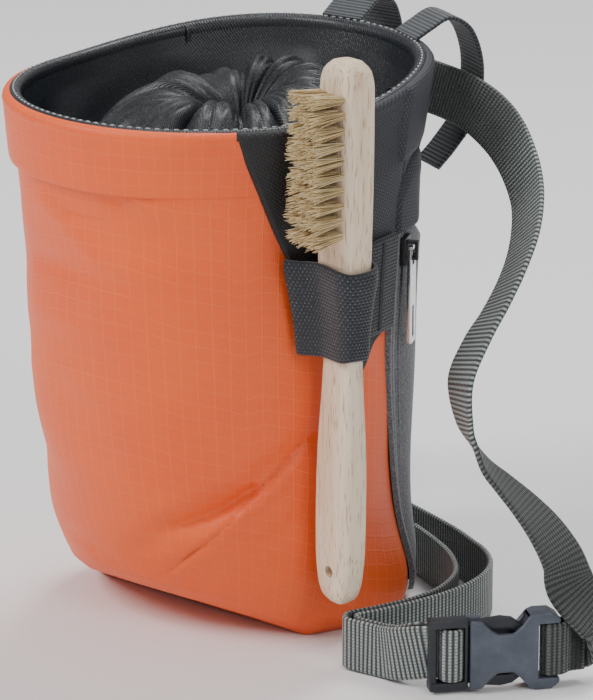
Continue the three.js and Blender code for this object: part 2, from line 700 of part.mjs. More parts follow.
// Half of each outline, as shares of BUCKLE_LENGTH along and of BUCKLE_HEIGHT up. The other half
// mirrors it.
const FEMALE_OUTLINE = [
  { along: (LOCK_TO + SEAM_GAP) / BUCKLE_LENGTH, up: 0.45 },
  { along: -0.1, up: 0.43 },
  { along: -0.035, up: 0.32 },
  { along: 0.02, up: 0.25 },
  { along: 0.14, up: 0.25 },
  { along: 0.195, up: 0.33 },
  { along: 0.265, up: 0.47 },
  { along: 0.31, up: 0.5 },
  { along: 0.43, up: 0.5 },
  { along: 0.5, up: 0.42 },
];
const PRONG_OUTLINE = [
  { along: (LOCK_TO - PRONG_ROOT) / BUCKLE_LENGTH, up: 0.37 },
  { along: -0.17, up: 0.385 },
  { along: -0.06, up: 0.425 },
  { along: 0.05, up: 0.445 },
  { along: 0.14, up: 0.42 },
  { along: 0.21, up: 0.335 },
  { along: 0.235, up: 0.26 },
  { along: 0.205, up: 0.22 },
  { along: 0.11, up: 0.3 },
  { along: 0.0, up: 0.3 },
  { along: -0.08, up: 0.22 },
  { along: -0.11, up: 0.12 },
  { along: -0.11, up: 0.06 },
  { along: 0.17, up: 0.06 },
];

function mirroredPlate(outline, thick) {
  const place = ({ along, up }, side) => new THREE.Vector2(along * BUCKLE_LENGTH, side * up * BUCKLE_HEIGHT);
  const upper = outline.map((point) => place(point, 1));
  const lower = outline.map((point) => place(point, -1)).reverse();
  const shape = new THREE.Shape([...upper, ...lower]);
  const plate = new THREE.ExtrudeGeometry(shape, { depth: thick, bevelEnabled: false });
  return toManifold(plate.translate(0, 0, -thick / 2));
}

// A box between two places along and across the buckle, in the buckle's own frame
function buckleBox(fromAlong, toAlong, halfUp, fromOut, toOut) {
  const middle = [(fromAlong + toAlong) / 2, 0, (fromOut + toOut) / 2];
  return toManifold(boxAt(toAlong - fromAlong, 2 * halfUp, toOut - fromOut, ...middle));
}

function placeBuckle(solid) {
  const frame = new THREE.Matrix4().makeBasis(BUCKLE_ALONG, UP, BUCKLE_OUT);
  return fromManifold(solid).applyMatrix4(frame.setPosition(BUCKLE_AT));
}

const END_BAR_FROM = BUCKLE_HALF - BUCKLE_BAR - 0.2;
const END_SLOT_FROM = END_BAR_FROM - SLOT_WIDTH;

function makeFemaleBuckle() {
  const tunnelTo = 0.255 * BUCKLE_LENGTH;
  const tunnelHalf = PRONG_HALF_WALL + SEAM_GAP;
  return placeBuckle(
    mirroredPlate(FEMALE_OUTLINE, BUCKLE_THICK)
      .subtract(buckleBox(-BUCKLE_HALF, tunnelTo, BUCKLE_HEIGHT, -tunnelHalf, tunnelHalf))
      .subtract(buckleBox(END_SLOT_FROM, END_BAR_FROM, SLOT_HALF, -BUCKLE_THICK, BUCKLE_THICK))
      .subtract(buckleBox(END_BAR_FROM - 0.1, BUCKLE_LENGTH, SLOT_HALF, BAR_HALF_WALL, BUCKLE_THICK))
      .subtract(buckleBox(END_BAR_FROM - 0.1, BUCKLE_LENGTH, SLOT_HALF, -BUCKLE_THICK, -BAR_HALF_WALL)),
  );
}

function makeMaleBuckle() {
  const frame = buckleBox(-BUCKLE_HALF, LOCK_TO, LOCK_HALF, -LOCK_HALF_WALL, LOCK_HALF_WALL);
  const prongs = mirroredPlate(PRONG_OUTLINE, 2 * PRONG_HALF_WALL);
  return placeBuckle(
    frame
      .subtract(buckleBox(-BUCKLE_LENGTH, INNER_SLOT_TO, SLOT_HALF, BAR_HALF_WALL, BUCKLE_THICK))
      .subtract(buckleBox(-BUCKLE_LENGTH, INNER_SLOT_TO, SLOT_HALF, -BUCKLE_THICK, -BAR_HALF_WALL))
      .subtract(buckleBox(OUTER_SLOT_FROM, OUTER_SLOT_TO, SLOT_HALF, -BUCKLE_THICK, BUCKLE_THICK))
      .subtract(buckleBox(INNER_SLOT_FROM, INNER_SLOT_TO, SLOT_HALF, -BUCKLE_THICK, BUCKLE_THICK))
      .add(prongs),
  );
}

// The belt is one length of webbing. It runs from the tail's end through the ladder lock, along the
// floor and round behind the bag, up through both loops, and down in a bend to its sewn end.

// Floor stations, as shares of RIM_RADIUS out (+X) and back (+Y), with the belt standing on its edge.
// lift raises the belt by that share of the way to the buckle's middle.
const TAIL_FLOOR = [
  { out: 0.32, back: 0.955 },
  { out: 0.545, back: 0.895 },
  { out: 0.705, back: 0.84 },
  { out: 0.847, back: 0.764 },
  { out: 0.947, back: 0.686 },
  { out: 1.025, back: 0.585 },
  { out: 1.09, back: 0.44 },
  { out: 1.112, back: 0.27 },
  { out: 1.096, back: 0.05 },
  { out: 1.08, back: -0.085 },
  { out: 1.13, back: -0.13 },
  { out: 1.22, back: -0.11 },
  { out: 1.33, back: -0.075 },
  { out: 1.42, back: -0.068, lift: 0.3 },
];
const LOADED_FLOOR = [
  { out: 1.418, back: -0.026, lift: 0.3 },
  { out: 1.335, back: -0.034 },
  { out: 1.235, back: -0.069 },
  { out: 1.155, back: -0.084 },
  { out: 1.122, back: -0.06 },
  { out: 1.137, back: 0.05 },
  { out: 1.154, back: 0.27 },
  { out: 1.15, back: 0.45 },
  { out: 1.12, back: 0.62 },
  { out: 1.05, back: 0.78 },
  { out: 0.95, back: 0.9 },
  { out: 0.81, back: 0.985 },
  { out: 0.66, back: 1.03 },
  { out: 0.48, back: 1.075 },
  { out: 0.18, back: 1.12 },
  { out: -0.14, back: 1.16 },
  { out: -0.47, back: 1.25 },
  { out: -0.81, back: 1.46 },
  { out: -1.12, back: 1.73 },
  { out: -1.42, back: 1.9 },
  { out: -1.76, back: 1.9 },
  { out: -1.97, back: 1.7 },
  { out: -1.98, back: 1.39 },
  { out: -1.8, back: 1.15 },
];
// Raised stations. up is a share of BAG_HEIGHT, and tipX, tipY and tipZ point to the belt's top edge.
const BACK_RISE_ROUTE = [
  { out: -1.55, back: 1.03, up: 0.07, tipX: -0.1, tipY: 0.1, tipZ: 1 },
  { out: -1.32, back: 1.0, up: 0.17, tipX: -0.5, tipY: 0.3, tipZ: 0.8 },
  { out: -1.13, back: 1.01, up: 0.35, tipX: -0.85, tipY: 0.2, tipZ: 0.45 },
  { out: -0.97, back: 1.05, up: 0.56, tipX: -0.8, tipY: 0.3, tipZ: 0.5 },
  { out: -0.78, back: 1.04, up: 0.75, tipX: -0.5, tipY: 0.35, tipZ: 0.8 },
  { out: -0.57, back: 1.08, up: 0.865, tipX: -0.15, tipY: 0.35, tipZ: 0.93 },
  { out: -0.3, back: 1.155, up: 0.925, tipX: 0, tipY: 0.33, tipZ: 0.94 },
  { out: 0, back: 1.17, up: 0.94, tipX: 0, tipY: 0.33, tipZ: 0.94 },
  { out: 0.3, back: 1.155, up: 0.94, tipX: 0, tipY: 0.33, tipZ: 0.94 },
  { out: 0.46, back: 1.15, up: 0.933, tipX: 0.04, tipY: 0.4, tipZ: 0.92 },
];
const FRONT_BEND_ROUTE = [
  { out: 0.61, back: 1.14, up: 0.918, tipX: 0.07, tipY: 0.47, tipZ: 0.88 },
  { out: 0.77, back: 1.112, up: 0.894, tipX: 0.25, tipY: 0.4, tipZ: 0.88 },
  { out: 0.92, back: 1.066, up: 0.86, tipX: 0.5, tipY: 0.25, tipZ: 0.83 },
  { out: 1.05, back: 1.007, up: 0.82, tipX: 0.66, tipY: 0.13, tipZ: 0.74 },
  { out: 1.153, back: 0.924, up: 0.785, tipX: 0.73, tipY: 0.09, tipZ: 0.68 },
  { out: 1.24, back: 0.824, up: 0.748, tipX: 0.78, tipY: 0.04, tipZ: 0.62 },
  { out: 1.308, back: 0.702, up: 0.705, tipX: 0.84, tipY: -0.05, tipZ: 0.54 },
  { out: 1.35, back: 0.564, up: 0.653, tipX: 0.9, tipY: -0.15, tipZ: 0.41 },
  { out: 1.368, back: 0.444, up: 0.607, tipX: 0.94, tipY: -0.2, tipZ: 0.28 },
  { out: 1.392, back: 0.325, up: 0.539, tipX: 0.95, tipY: -0.27, tipZ: 0.18 },
  { out: 1.435, back: 0.317, up: 0.463, tipX: 0.9, tipY: -0.42, tipZ: 0.13 },
  { out: 1.475, back: 0.336, up: 0.428, tipX: 0.82, tipY: -0.54, tipZ: 0.13 },
  { out: 1.53, back: 0.371, up: 0.388, tipX: 0.7, tipY: -0.7, tipZ: 0.1 },
  { out: 1.593, back: 0.419, up: 0.359, tipX: 0.6, tipY: -0.8, tipZ: 0.04 },
  { out: 1.683, back: 0.48, up: 0.32, tipX: 0.44, tipY: -0.9, tipZ: -0.02 },
  { out: 1.766, back: 0.534, up: 0.277, tipX: 0.28, tipY: -0.95, tipZ: -0.1 },
  { out: 1.835, back: 0.575, up: 0.228, tipX: 0.08, tipY: -0.97, tipZ: -0.12 },
  { out: 1.872, back: 0.595, up: 0.18, tipX: -0.2, tipY: -0.97, tipZ: -0.08 },
];

const floorStation = ({ out, back, lift = 0 }) => ({
  middle: new THREE.Vector3(
    out * RIM_RADIUS,
    back * RIM_RADIUS,
    THREE.MathUtils.lerp(BELT_WIDTH / 2 + FLOOR_CLEAR, BUCKLE_HEIGHT / 2, lift),
  ),
  across: UP.clone(),
});
const raisedStation = ({ out, back, up, tipX, tipY, tipZ }) => ({
  middle: new THREE.Vector3(out * RIM_RADIUS, back * RIM_RADIUS, up * BAG_HEIGHT),
  across: new THREE.Vector3(tipX, tipY, tipZ),
});
const buckleStation = (along, out, up = 0, across = UP) => ({
  middle: buckleSpot(along, out, up),
  across: across.clone(),
});

const ON_BAR = BAR_HALF_WALL + SEAM_GAP + BELT_WALL / 2;
const BESIDE_BAR = SEAM_GAP + BELT_WALL / 2;
const NEXT_LAYER = BELT_WALL + SEAM_GAP;
const LOCK_BAR_MIDDLE = OUTER_SLOT_TO + LOCK_BAR / 2;

// The tail leaves the ladder lock behind its outer bar, in front of the loaded belt
const LOCK_TAIL = [
  buckleStation(-BUCKLE_HALF + 0.6, -ON_BAR),
  buckleStation(OUTER_SLOT_FROM + 0.5, -ON_BAR),
  buckleStation(OUTER_SLOT_TO - BESIDE_BAR - 0.8, -1.2),
  buckleStation(OUTER_SLOT_TO - BESIDE_BAR - 0.4, 0),
];
const LOCK_LOADED = [
  buckleStation(OUTER_SLOT_TO - BESIDE_BAR - 0.2, 0.8),
  buckleStation(OUTER_SLOT_TO - BESIDE_BAR + 0.2, 1.7),
  buckleStation(LOCK_BAR_MIDDLE - 0.6, ON_BAR),
  buckleStation(LOCK_BAR_MIDDLE + 0.8, ON_BAR),
  buckleStation(INNER_SLOT_FROM + BESIDE_BAR, 1.4),
  buckleStation(INNER_SLOT_FROM + BESIDE_BAR + 0.1, 0),
  buckleStation(INNER_SLOT_FROM + BESIDE_BAR, -1.4),
  buckleStation(LOCK_BAR_MIDDLE + 0.6, -ON_BAR - 0.1),
  buckleStation(OUTER_SLOT_TO - 0.7, -ON_BAR - 0.5 * NEXT_LAYER),
  buckleStation(OUTER_SLOT_FROM + 0.5, -ON_BAR - NEXT_LAYER - 0.5),
  buckleStation(-BUCKLE_HALF, -ON_BAR - NEXT_LAYER - 1.3),
];

// Beside the buckle the belt turns a soft corner: it comes down with its width nearly level, and
// turns evenly until it runs level on its edge, with its top edge below, behind the end bar.
const CORNER_LENGTH = BELT_WIDTH * 0.6;
const CORNER_STEPS = 5;
const CORNER_SUBSTEPS = 6;
const CORNER_STANDOFF = 6.2;
const CORNER_BEHIND = 0.9;
const CORNER_TIP_ALONG = -0.8;
const CORNER_TIP_OUT = 0.6;
const DOWN = UP.clone().negate();

function cornerStations() {
  const startAcross = buckleSpot(CORNER_TIP_ALONG, CORNER_TIP_OUT, 0).sub(BUCKLE_AT);
  const startFrame = new THREE.Matrix4().makeBasis(DOWN, startAcross, DOWN.clone().cross(startAcross));
  const endAlong = BUCKLE_ALONG.clone().negate();
  const endFrame = new THREE.Matrix4().makeBasis(endAlong, DOWN, endAlong.clone().cross(DOWN));
  const start = new THREE.Quaternion().setFromRotationMatrix(startFrame);
  const end = new THREE.Quaternion().setFromRotationMatrix(endFrame);
  const middle = buckleSpot(BUCKLE_HALF + CORNER_STANDOFF, -ON_BAR - CORNER_BEHIND, 0);
  const stations = [];
  const count = CORNER_STEPS * CORNER_SUBSTEPS;
  for (let step = count; step >= 0; step -= 1) {
    const turn = start.clone().slerp(end, step / count);
    const along = new THREE.Vector3(1, 0, 0).applyQuaternion(turn);
    const across = new THREE.Vector3(0, 1, 0).applyQuaternion(turn);
    if (step % CORNER_SUBSTEPS === 0) stations.unshift({ middle: middle.clone(), across });
    middle.addScaledVector(along, -CORNER_LENGTH / count);
  }
  return stations;
}

// The sewn end goes round the end bar from behind and lies over itself
const SEWN_END = [
  buckleStation(END_BAR_FROM + 1.2, -ON_BAR, 0, DOWN),
  buckleStation(END_BAR_FROM - 0.2, -ON_BAR, 0, DOWN),
  buckleStation(END_BAR_FROM - BESIDE_BAR, -1.4, 0, DOWN),
  buckleStation(END_BAR_FROM - BESIDE_BAR - 0.2, 0, 0, DOWN),
  buckleStation(END_BAR_FROM - BESIDE_BAR, 1.4, 0, DOWN),
  buckleStation(END_BAR_FROM - 0.2, ON_BAR, 0, DOWN),
  buckleStation(END_BAR_FROM + 1.2, ON_BAR, 0, DOWN),
  buckleStation(BUCKLE_HALF + 1.2, ON_BAR, 0, DOWN),
];

const LOADED_BELT = [
  ...LOCK_LOADED,
  ...LOADED_FLOOR.map(floorStation),
  ...BACK_RISE_ROUTE.map(raisedStation),
  ...FRONT_BEND_ROUTE.map(raisedStation),
  ...cornerStations(),
  ...SEWN_END,
];
const FLOOR_END = LOCK_LOADED.length + LOADED_FLOOR.length - 1;
const LOOPS_END = FLOOR_END + BACK_RISE_ROUTE.length;
const SEWN_STATION = LOADED_BELT.length - 1;

// One piece of the loaded belt between two stations, with a small gap to the next piece
function makeBeltPiece(fromStation, toStation, steps) {
  const shareAt = (station, otherStation) => {
    const here = LOADED_BELT[station].middle;
    const step = Math.sign(otherStation - station);
    const spacing = here.distanceTo(LOADED_BELT[station + step].middle);
    const isOpenEnd = station === 0 || station === SEWN_STATION;
    const gap = isOpenEnd ? 0 : SEAM_GAP / spacing;
    return (station + step * gap) / SEWN_STATION;
  };
  const stretch = [shareAt(fromStation, toStation), shareAt(toStation, fromStation)];
  return strapSolid(LOADED_BELT, BELT_WIDTH, BELT_WALL, steps, stretch);
}

function makeBeltTail() {
  return strapSolid([...TAIL_FLOOR.map(floorStation), ...LOCK_TAIL], BELT_WIDTH, BELT_WALL, 48);
}

// The zip

// The slider stands on the tape below the garage. Its own frame has x across, y up and z outward.
const SLIDER_ANGLE = 37;
const SLIDER_HEIGHT = YOKE_FROM - (SLIDER_LENGTH / 2 + SLIDER_BELOW_YOKE) / BAG_HEIGHT;

function sliderFrame() {
  const seat = bagPoint(SLIDER_ANGLE, SLIDER_HEIGHT, PANEL_GAP + PANEL_WALL + SEAM_GAP);
  const outward = new THREE.Vector3(Math.cos(radians(SLIDER_ANGLE)), Math.sin(radians(SLIDER_ANGLE)), 0);
  const across = UP.clone().cross(outward);
  return new THREE.Matrix4().makeBasis(across, UP, outward).setPosition(seat);
}

function makeZipSlider() {
  const postAt = (BRIDGE_LENGTH - BRIDGE_WALL) / 2;
  const postTall = BRIDGE_SPACE + BRIDGE_WALL;
  const post = (y) => boxAt(BRIDGE_WIDTH, BRIDGE_WALL, postTall, 0, y, SLIDER_BASE + postTall / 2 - 0.1);
  const bridgeTop = SLIDER_BASE + BRIDGE_SPACE + BRIDGE_WALL / 2;
  const base = toManifold(boxAt(SLIDER_WIDTH, SLIDER_LENGTH, SLIDER_BASE, 0, 0, SLIDER_BASE / 2));
  const bridge = toManifold(boxAt(BRIDGE_WIDTH, BRIDGE_LENGTH, BRIDGE_WALL, 0, 0, bridgeTop));
  const slider = base.add(bridge).add(toManifold(post(postAt))).add(toManifold(post(-postAt)));
  return fromManifold(slider).applyMatrix4(sliderFrame());
}

function roundedOutline(shape, halfWidth, bottom, top, radius) {
  shape.moveTo(-halfWidth + radius, bottom);
  shape.lineTo(halfWidth - radius, bottom);
  shape.quadraticCurveTo(halfWidth, bottom, halfWidth, bottom + radius);
  shape.lineTo(halfWidth, top - radius);
  shape.quadraticCurveTo(halfWidth, top, halfWidth - radius, top);
  shape.lineTo(-halfWidth + radius, top);
  shape.quadraticCurveTo(-halfWidth, top, -halfWidth, top - radius);
  shape.lineTo(-halfWidth, bottom + radius);
  shape.quadraticCurveTo(-halfWidth, bottom, -halfWidth + radius, bottom);
  return shape;
}

// The pull hangs on its crossbar, which turns under the slider's bridge
function makeZipPull() {
  const top = CROSSBAR_UP + PULL_WALL / 2;
  const windowTop = CROSSBAR_UP - PULL_WALL / 2;
  const outline = roundedOutline(new THREE.Shape(), PULL_WIDTH / 2, top - PULL_LENGTH, top, 0.8);
  const pullWindow = roundedOutline(
    new THREE.Path(), WINDOW_WIDTH / 2, windowTop - WINDOW_LENGTH, windowTop, 0.4,
  );
  const slot = roundedOutline(
    new THREE.Path(), PULL_WIDTH * 0.2, top - PULL_LENGTH * 0.95, top - PULL_LENGTH * 0.62, 0.9,
  );
  outline.holes.push(pullWindow, slot);
  const settings = { depth: PULL_WALL, bevelEnabled: false, curveSegments: 4 };
  const plate = new THREE.ExtrudeGeometry(outline, settings);
  plate.translate(0, 0, SLIDER_BASE + BRIDGE_SPACE / 2 - PULL_WALL / 2);
  return plate.applyMatrix4(sliderFrame());
}

// The assembly

const looks = {
  orangeRipstop: { color: 0xe8642c, roughness: 0.55 },
  blackFabric: { color: 0x222426, roughness: 0.8 },
  greyWoven: { color: 0x4a4d55, roughness: 0.85 },
  greyFelt: { color: 0x5c5e64, roughness: 0.95 },
  darkNylon: { color: 0x2b3038, roughness: 0.35 },
  elastic: { color: 0x20242c, roughness: 0.8 },
  webbing: { color: 0x6f7a7a, roughness: 0.8 },
  darkWebbing: { color: 0x23282e, roughness: 0.8 },
  beech: { color: 0xe6d3b6, roughness: 0.6 },
  bristle: { color: 0xcbb07a, roughness: 0.7 },
  slatePlastic: { color: 0x454b57, roughness: 0.5 },
  silver: { color: 0xc4c7ca, roughness: 0.3, metalness: 1 },
  blackMetal: { color: 0x25272b, roughness: 0.4, metalness: 0.6 },
};

function piece(name, geometry, look) {
  const mesh = new THREE.Mesh(geometry, new THREE.MeshStandardMaterial(look));
  mesh.name = name;
  return mesh;
}

function makeBag() {
  const bag = new THREE.Group();
  bag.add(piece('shell', makeShell(), looks.orangeRipstop));
  bag.add(piece('front_hem', makeFrontHem(), looks.orangeRipstop));
  bag.add(piece('side_panel', makeSidePanel(), looks.blackFabric));
  bag.add(piece('back_collar', makeCollar(), looks.greyWoven));
  bag.add(piece('back_yoke', makeYoke(), looks.greyWoven));
  bag.add(piece('zip_garage', makeZipGarage(), looks.greyWoven));
  bag.add(piece('back_pocket', makePocket(), looks.greyFelt));
  bag.add(piece('zip_tape', makeZipTape(), looks.greyFelt));
  bag.add(piece('gathered_lining', makeLining(), looks.darkNylon));
  return bag;
}

function makeBrush() {
  const brush = new THREE.Group();
  brush.add(piece('brush_handle', makeBrushHandle(), looks.beech));
  brush.add(piece('brush_bristles', makeBristles(), looks.bristle));
  brush.add(piece('brush_holder', makeBrushHolder(), looks.elastic));
  return brush;
}

function makeBelt() {
  const belt = new THREE.Group();
  for (const [name, angle] of Object.entries(LOOP_ANGLES)) {
    belt.add(piece(name, makeBeltLoop(angle), looks.darkWebbing));
  }
  belt.add(piece('belt_tail', makeBeltTail(), looks.webbing));
  belt.add(piece('belt_floor', makeBeltPiece(0, FLOOR_END, 84), looks.webbing));
  belt.add(piece('belt_back', makeBeltPiece(FLOOR_END, LOOPS_END, 28), looks.webbing));
  belt.add(piece('belt_front', makeBeltPiece(LOOPS_END, SEWN_STATION, 72), looks.webbing));
  belt.add(piece('buckle_female', makeFemaleBuckle(), looks.slatePlastic));
  belt.add(piece('buckle_male', makeMaleBuckle(), looks.slatePlastic));
  return belt;
}

function makeZip() {
  const zip = new THREE.Group();
  zip.add(piece('zip_slider', makeZipSlider(), looks.blackMetal));
  zip.add(piece('zip_pull', makeZipPull(), looks.silver));
  return zip;
}

const chalkBag = new THREE.Group();
chalkBag.add(makeBag(), makeBrush(), makeBelt(), makeZip());
export default chalkBag;
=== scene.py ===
"""Looks of the climbing chalk bag. Lengths are millimetres in the making, and metres in Blender."""

import math

import bmesh
import bpy
import numpy as np
from mathutils import Matrix, Vector


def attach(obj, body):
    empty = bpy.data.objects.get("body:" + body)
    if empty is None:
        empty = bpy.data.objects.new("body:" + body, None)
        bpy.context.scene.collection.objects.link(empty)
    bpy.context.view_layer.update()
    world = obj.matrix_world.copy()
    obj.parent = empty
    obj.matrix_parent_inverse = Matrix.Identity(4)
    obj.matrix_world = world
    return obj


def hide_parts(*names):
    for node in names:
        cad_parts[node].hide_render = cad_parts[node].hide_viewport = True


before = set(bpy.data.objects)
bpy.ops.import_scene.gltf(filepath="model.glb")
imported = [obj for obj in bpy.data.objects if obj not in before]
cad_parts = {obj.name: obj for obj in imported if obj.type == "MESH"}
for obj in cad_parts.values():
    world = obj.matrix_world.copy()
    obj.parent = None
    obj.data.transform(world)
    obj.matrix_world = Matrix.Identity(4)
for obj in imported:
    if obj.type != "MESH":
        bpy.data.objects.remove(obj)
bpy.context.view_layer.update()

MM = 0.001
TURN = 2 * math.pi

# Sizes of the model. They are its source's, apart from the base's lift, the bristles and the holder, which
# follow the photograph more closely.
BAG_HEIGHT = 151
RIM_RADIUS = 59
RIM_BACK_RISE = 8
FRONT_LIFT = 19
WALL = 1.6
PANEL_GAP = 0.5
PANEL_WALL = 1.2
HEM_WALL = 1.8
COLLAR_WALL = 2.2
POCKET_PAD = 6.5
LINING_WALL = 1.2
BELT_WIDTH = 15
BELT_WALL = 1.6
LOOP_WIDTH = 14
LOOP_WALL = 1.3
LOOP_STANDOFF = 17
LOOP_DROP = 38
BUCKLE_LENGTH = 36
BUCKLE_HEIGHT = 22
BUCKLE_BAR = 2.6
FLOOR_CLEAR = 0.35
BRUSH_LENGTH = 154
BRUSH_WIDTH = 15
BRUSH_THICK = 8.2
BRISTLE_LENGTH = 10.5
BRISTLE_WIDTH = 12.5
BRISTLE_ROWS = 10
HOLDER_HEIGHT = 27
HOLDER_WALL = 1.2
SEAM_GAP = 0.3

HEM_FROM = 0.878
COLLAR_FROM = 0.868
YOKE_FROM = 0.735
POCKET_FROM = 0.03
BACK_FROM = 29
BACK_TO = 151
COLLAR_START = 24.2
COLLAR_END = 154
ZIP_TO = 42
GARAGE_TO = 62
BRUSH_FOOT = 17

# The camera, at the photograph's viewing angle. Its focal length is in the photograph's pixels.
FOCAL_PIXELS = 4250
PHOTO_WIDTH = 593
PHOTO_HEIGHT = 700


def place_camera():
    azimuth, elevation, distance = math.radians(52), math.radians(17), 1.2
    target = Vector((0.0134, 0.0166, 0.0742))
    back = Vector(
        (
            math.sin(azimuth) * math.cos(elevation),
            -math.cos(azimuth) * math.cos(elevation),
            math.sin(elevation),
        )
    )
    data = bpy.data.cameras.new("photo_camera")
    data.sensor_fit = "VERTICAL"
    data.sensor_height = 36
    data.lens = data.sensor_height * FOCAL_PIXELS / PHOTO_HEIGHT
    camera = bpy.data.objects.new("photo_camera", data)
    camera.location = target + back * distance
    camera.rotation_euler = (-back).to_track_quat("-Z", "Y").to_euler()
    bpy.context.scene.collection.objects.link(camera)
    bpy.context.scene.camera = camera


place_camera()


# Tables of the bag's form: its sections up its height, as shares of RIM_RADIUS

SECTION_HEIGHT = [0.0, 0.02, 0.08, 0.19, 0.33, 0.6, 0.8, 0.88, 1.0]
SECTION_FRONT = [0.6, 0.68, 0.75, 0.815, 0.862, 0.905, 0.945, 0.972, 1.0]
SECTION_BACK = [0.71, 0.735, 0.76, 0.77, 0.77, 0.78, 0.85, 0.925, 0.98]
SECTION_SIDE = [0.69, 0.75, 0.8, 0.828, 0.84, 0.85, 0.865, 0.885, 0.935]
SECTION_SQUARE = [2.1, 2.15, 2.2, 2.2, 2.2, 2.2, 2.15, 2.1, 2.05]
# Soft dents, and bulges with a depth below zero: angle, height, depth, across, along, slope
DENTS = [
    (322, 0.25, 0.045, 30, 0.035, 0.0047),
    (300, 0.8, 0.022, 24, 0.045, -0.001),
    (262, 0.72, 0.02, 26, 0.05, 0.0015),
    (225, 0.3, 0.03, 30, 0.07, -0.002),
    (190, 0.62, 0.025, 22, 0.09, 0.001),
    (250, 0.45, -0.015, 40, 0.2, 0),
    (325, 0, 0.11, 40, 0.12, 0),
    (46, 0, -0.14, 36, 0.14, 0),
]
PANEL_HEIGHT = [0.49, 0.52, 0.565, 0.58, 0.645, 0.7, 0.8, 0.88, 1.0]
PANEL_LEFT = [1, 0, -3, -4.5, -7, -10, -17.5, -23, -31.5]
PANEL_RIGHT = [7, 13, 19, 27, 27, 27, 25.5, 24, 23]


def read_table(keys, values, place):
    """Reads a table at any places on a smooth curve through its rows."""
    keys = np.asarray(keys, float)
    values = np.asarray(values, float)
    place = np.clip(np.asarray(place, float), keys[0], keys[-1])
    row = np.clip(np.searchsorted(keys, place, side="left") - 1, 0, len(keys) - 2)
    before = np.maximum(row - 1, 0)
    after = np.minimum(row + 2, len(keys) - 1)
    span = keys[row + 1] - keys[row]
    t = (place - keys[row]) / span
    slope_from = (values[row + 1] - values[before]) / (keys[row + 1] - keys[before])
    slope_to = (values[after] - values[row]) / (keys[after] - keys[row])
    t2 = t * t
    t3 = t2 * t
    return (
        values[row] * (2 * t3 - 3 * t2 + 1)
        + values[row + 1] * (3 * t2 - 2 * t3)
        + span * (slope_from * (t3 - 2 * t2 + t) + slope_to * (t3 - t2))
    )


def smooth_step(value, start, end):
    t = np.clip((np.asarray(value, float) - start) / (end - start), 0, 1)
    return t * t * (3 - 2 * t)


def back_rise(y, height):
    """How much the rim and what is near it rise towards the back."""
    return RIM_BACK_RISE * smooth_step(y, -RIM_RADIUS / 3, RIM_RADIUS) * height**3


def front_lift(x, y, height):
    """How much the front of the base lifts off the floor."""
    share = np.clip((0.2 * x - 0.98 * y - RIM_RADIUS * 0.14) / (RIM_RADIUS * 0.66), 0, 1)
    return FRONT_LIFT * share**0.9 * np.maximum(0, 1 - 2 * height)


def dent_depth(angle, height):
    depth = np.zeros(np.broadcast(angle, height).shape)
    for at, level, deep, across, along, slope in DENTS:
        turned = (angle - at + 900) % 360 - 180
        a = turned / across
        b = (height - level - slope * turned) / along
        depth = depth + deep * RIM_RADIUS * np.exp(-(a**2) - b**2)
    return depth


def bag_point(angle, height, offset=0.0, reach=1.0, lift=0.0):
    """Points of the bag's outer face, moved out by offset and up by lift."""
    angle = np.asarray(angle, float)
    height = np.asarray(height, float)
    square = read_table(SECTION_HEIGHT, SECTION_SQUARE, height)
    side = read_table(SECTION_HEIGHT, SECTION_SIDE, height) * RIM_RADIUS
    front = read_table(SECTION_HEIGHT, SECTION_FRONT, height) * RIM_RADIUS
    back = read_table(SECTION_HEIGHT, SECTION_BACK, height) * RIM_RADIUS
    cos = np.cos(np.radians(angle))
    sin = np.sin(np.radians(angle))
    end = np.where(sin > 0, back, front)
    x = side * np.sign(cos) * np.abs(cos) ** (2 / square)
    y = end * np.sign(sin) * np.abs(sin) ** (2 / square)
    length = np.hypot(x, y)
    scale = reach * (length + offset - dent_depth(angle, height)) / length
    px, py = x * scale, y * scale
    z = height * BAG_HEIGHT + back_rise(py, height) + front_lift(px, py, height) + lift
    return np.stack(np.broadcast_arrays(px, py, z), axis=-1)


def wavy(seed, *fields, octaves=2):
    """A smooth, seeded field of waves over any coordinates, from -1 to 1."""
    rng = np.random.default_rng(seed)
    total = 0.0
    weight = 0.0
    for octave in range(octaves):
        for _ in range(4):
            turns = rng.normal(size=len(fields)) * 1.7**octave
            phase = rng.uniform(0, TURN)
            total = total + np.sin(sum(t * f for t, f in zip(turns, fields)) + phase) / (octave + 1)
            weight += 0.6 / (octave + 1)
    return total / weight


def round_waves(seed, rate, angle, *fields, octaves=2):
    """Waves that meet themselves round the bag."""
    turned = np.radians(angle)
    return wavy(seed, rate * np.cos(turned), rate * np.sin(turned), *fields, octaves=octaves)


# Making meshes


def as_object(name, vertices, faces, uvs=None, smooth=True):
    """Makes an object from points in millimetres, with texture places for each corner of each face."""
    mesh = bpy.data.meshes.new(name)
    if isinstance(faces, np.ndarray):
        faces = faces.tolist()
    mesh.from_pydata((np.asarray(vertices) * MM).tolist(), [], faces)
    if uvs is not None:
        layer = mesh.uv_layers.new(name="UVMap")
        layer.data.foreach_set("uv", np.asarray(uvs, np.float32).ravel())
    mesh.polygons.foreach_set("use_smooth", [smooth] * len(mesh.polygons))
    obj = bpy.data.objects.new(name, mesh)
    bpy.context.scene.collection.objects.link(obj)
    return obj


def arc_uvs(points):
    """Texture places in millimetres, measured along a grid of points."""
    across = np.linalg.norm(np.diff(points, axis=1), axis=2).mean(axis=0)
    along = np.linalg.norm(np.diff(points, axis=0), axis=2)
    u = np.concatenate([[0], np.cumsum(across)])
    v = np.concatenate([np.zeros((1, points.shape[1])), np.cumsum(along, axis=0)])
    return np.stack([np.broadcast_to(u, v.shape), v], axis=-1)


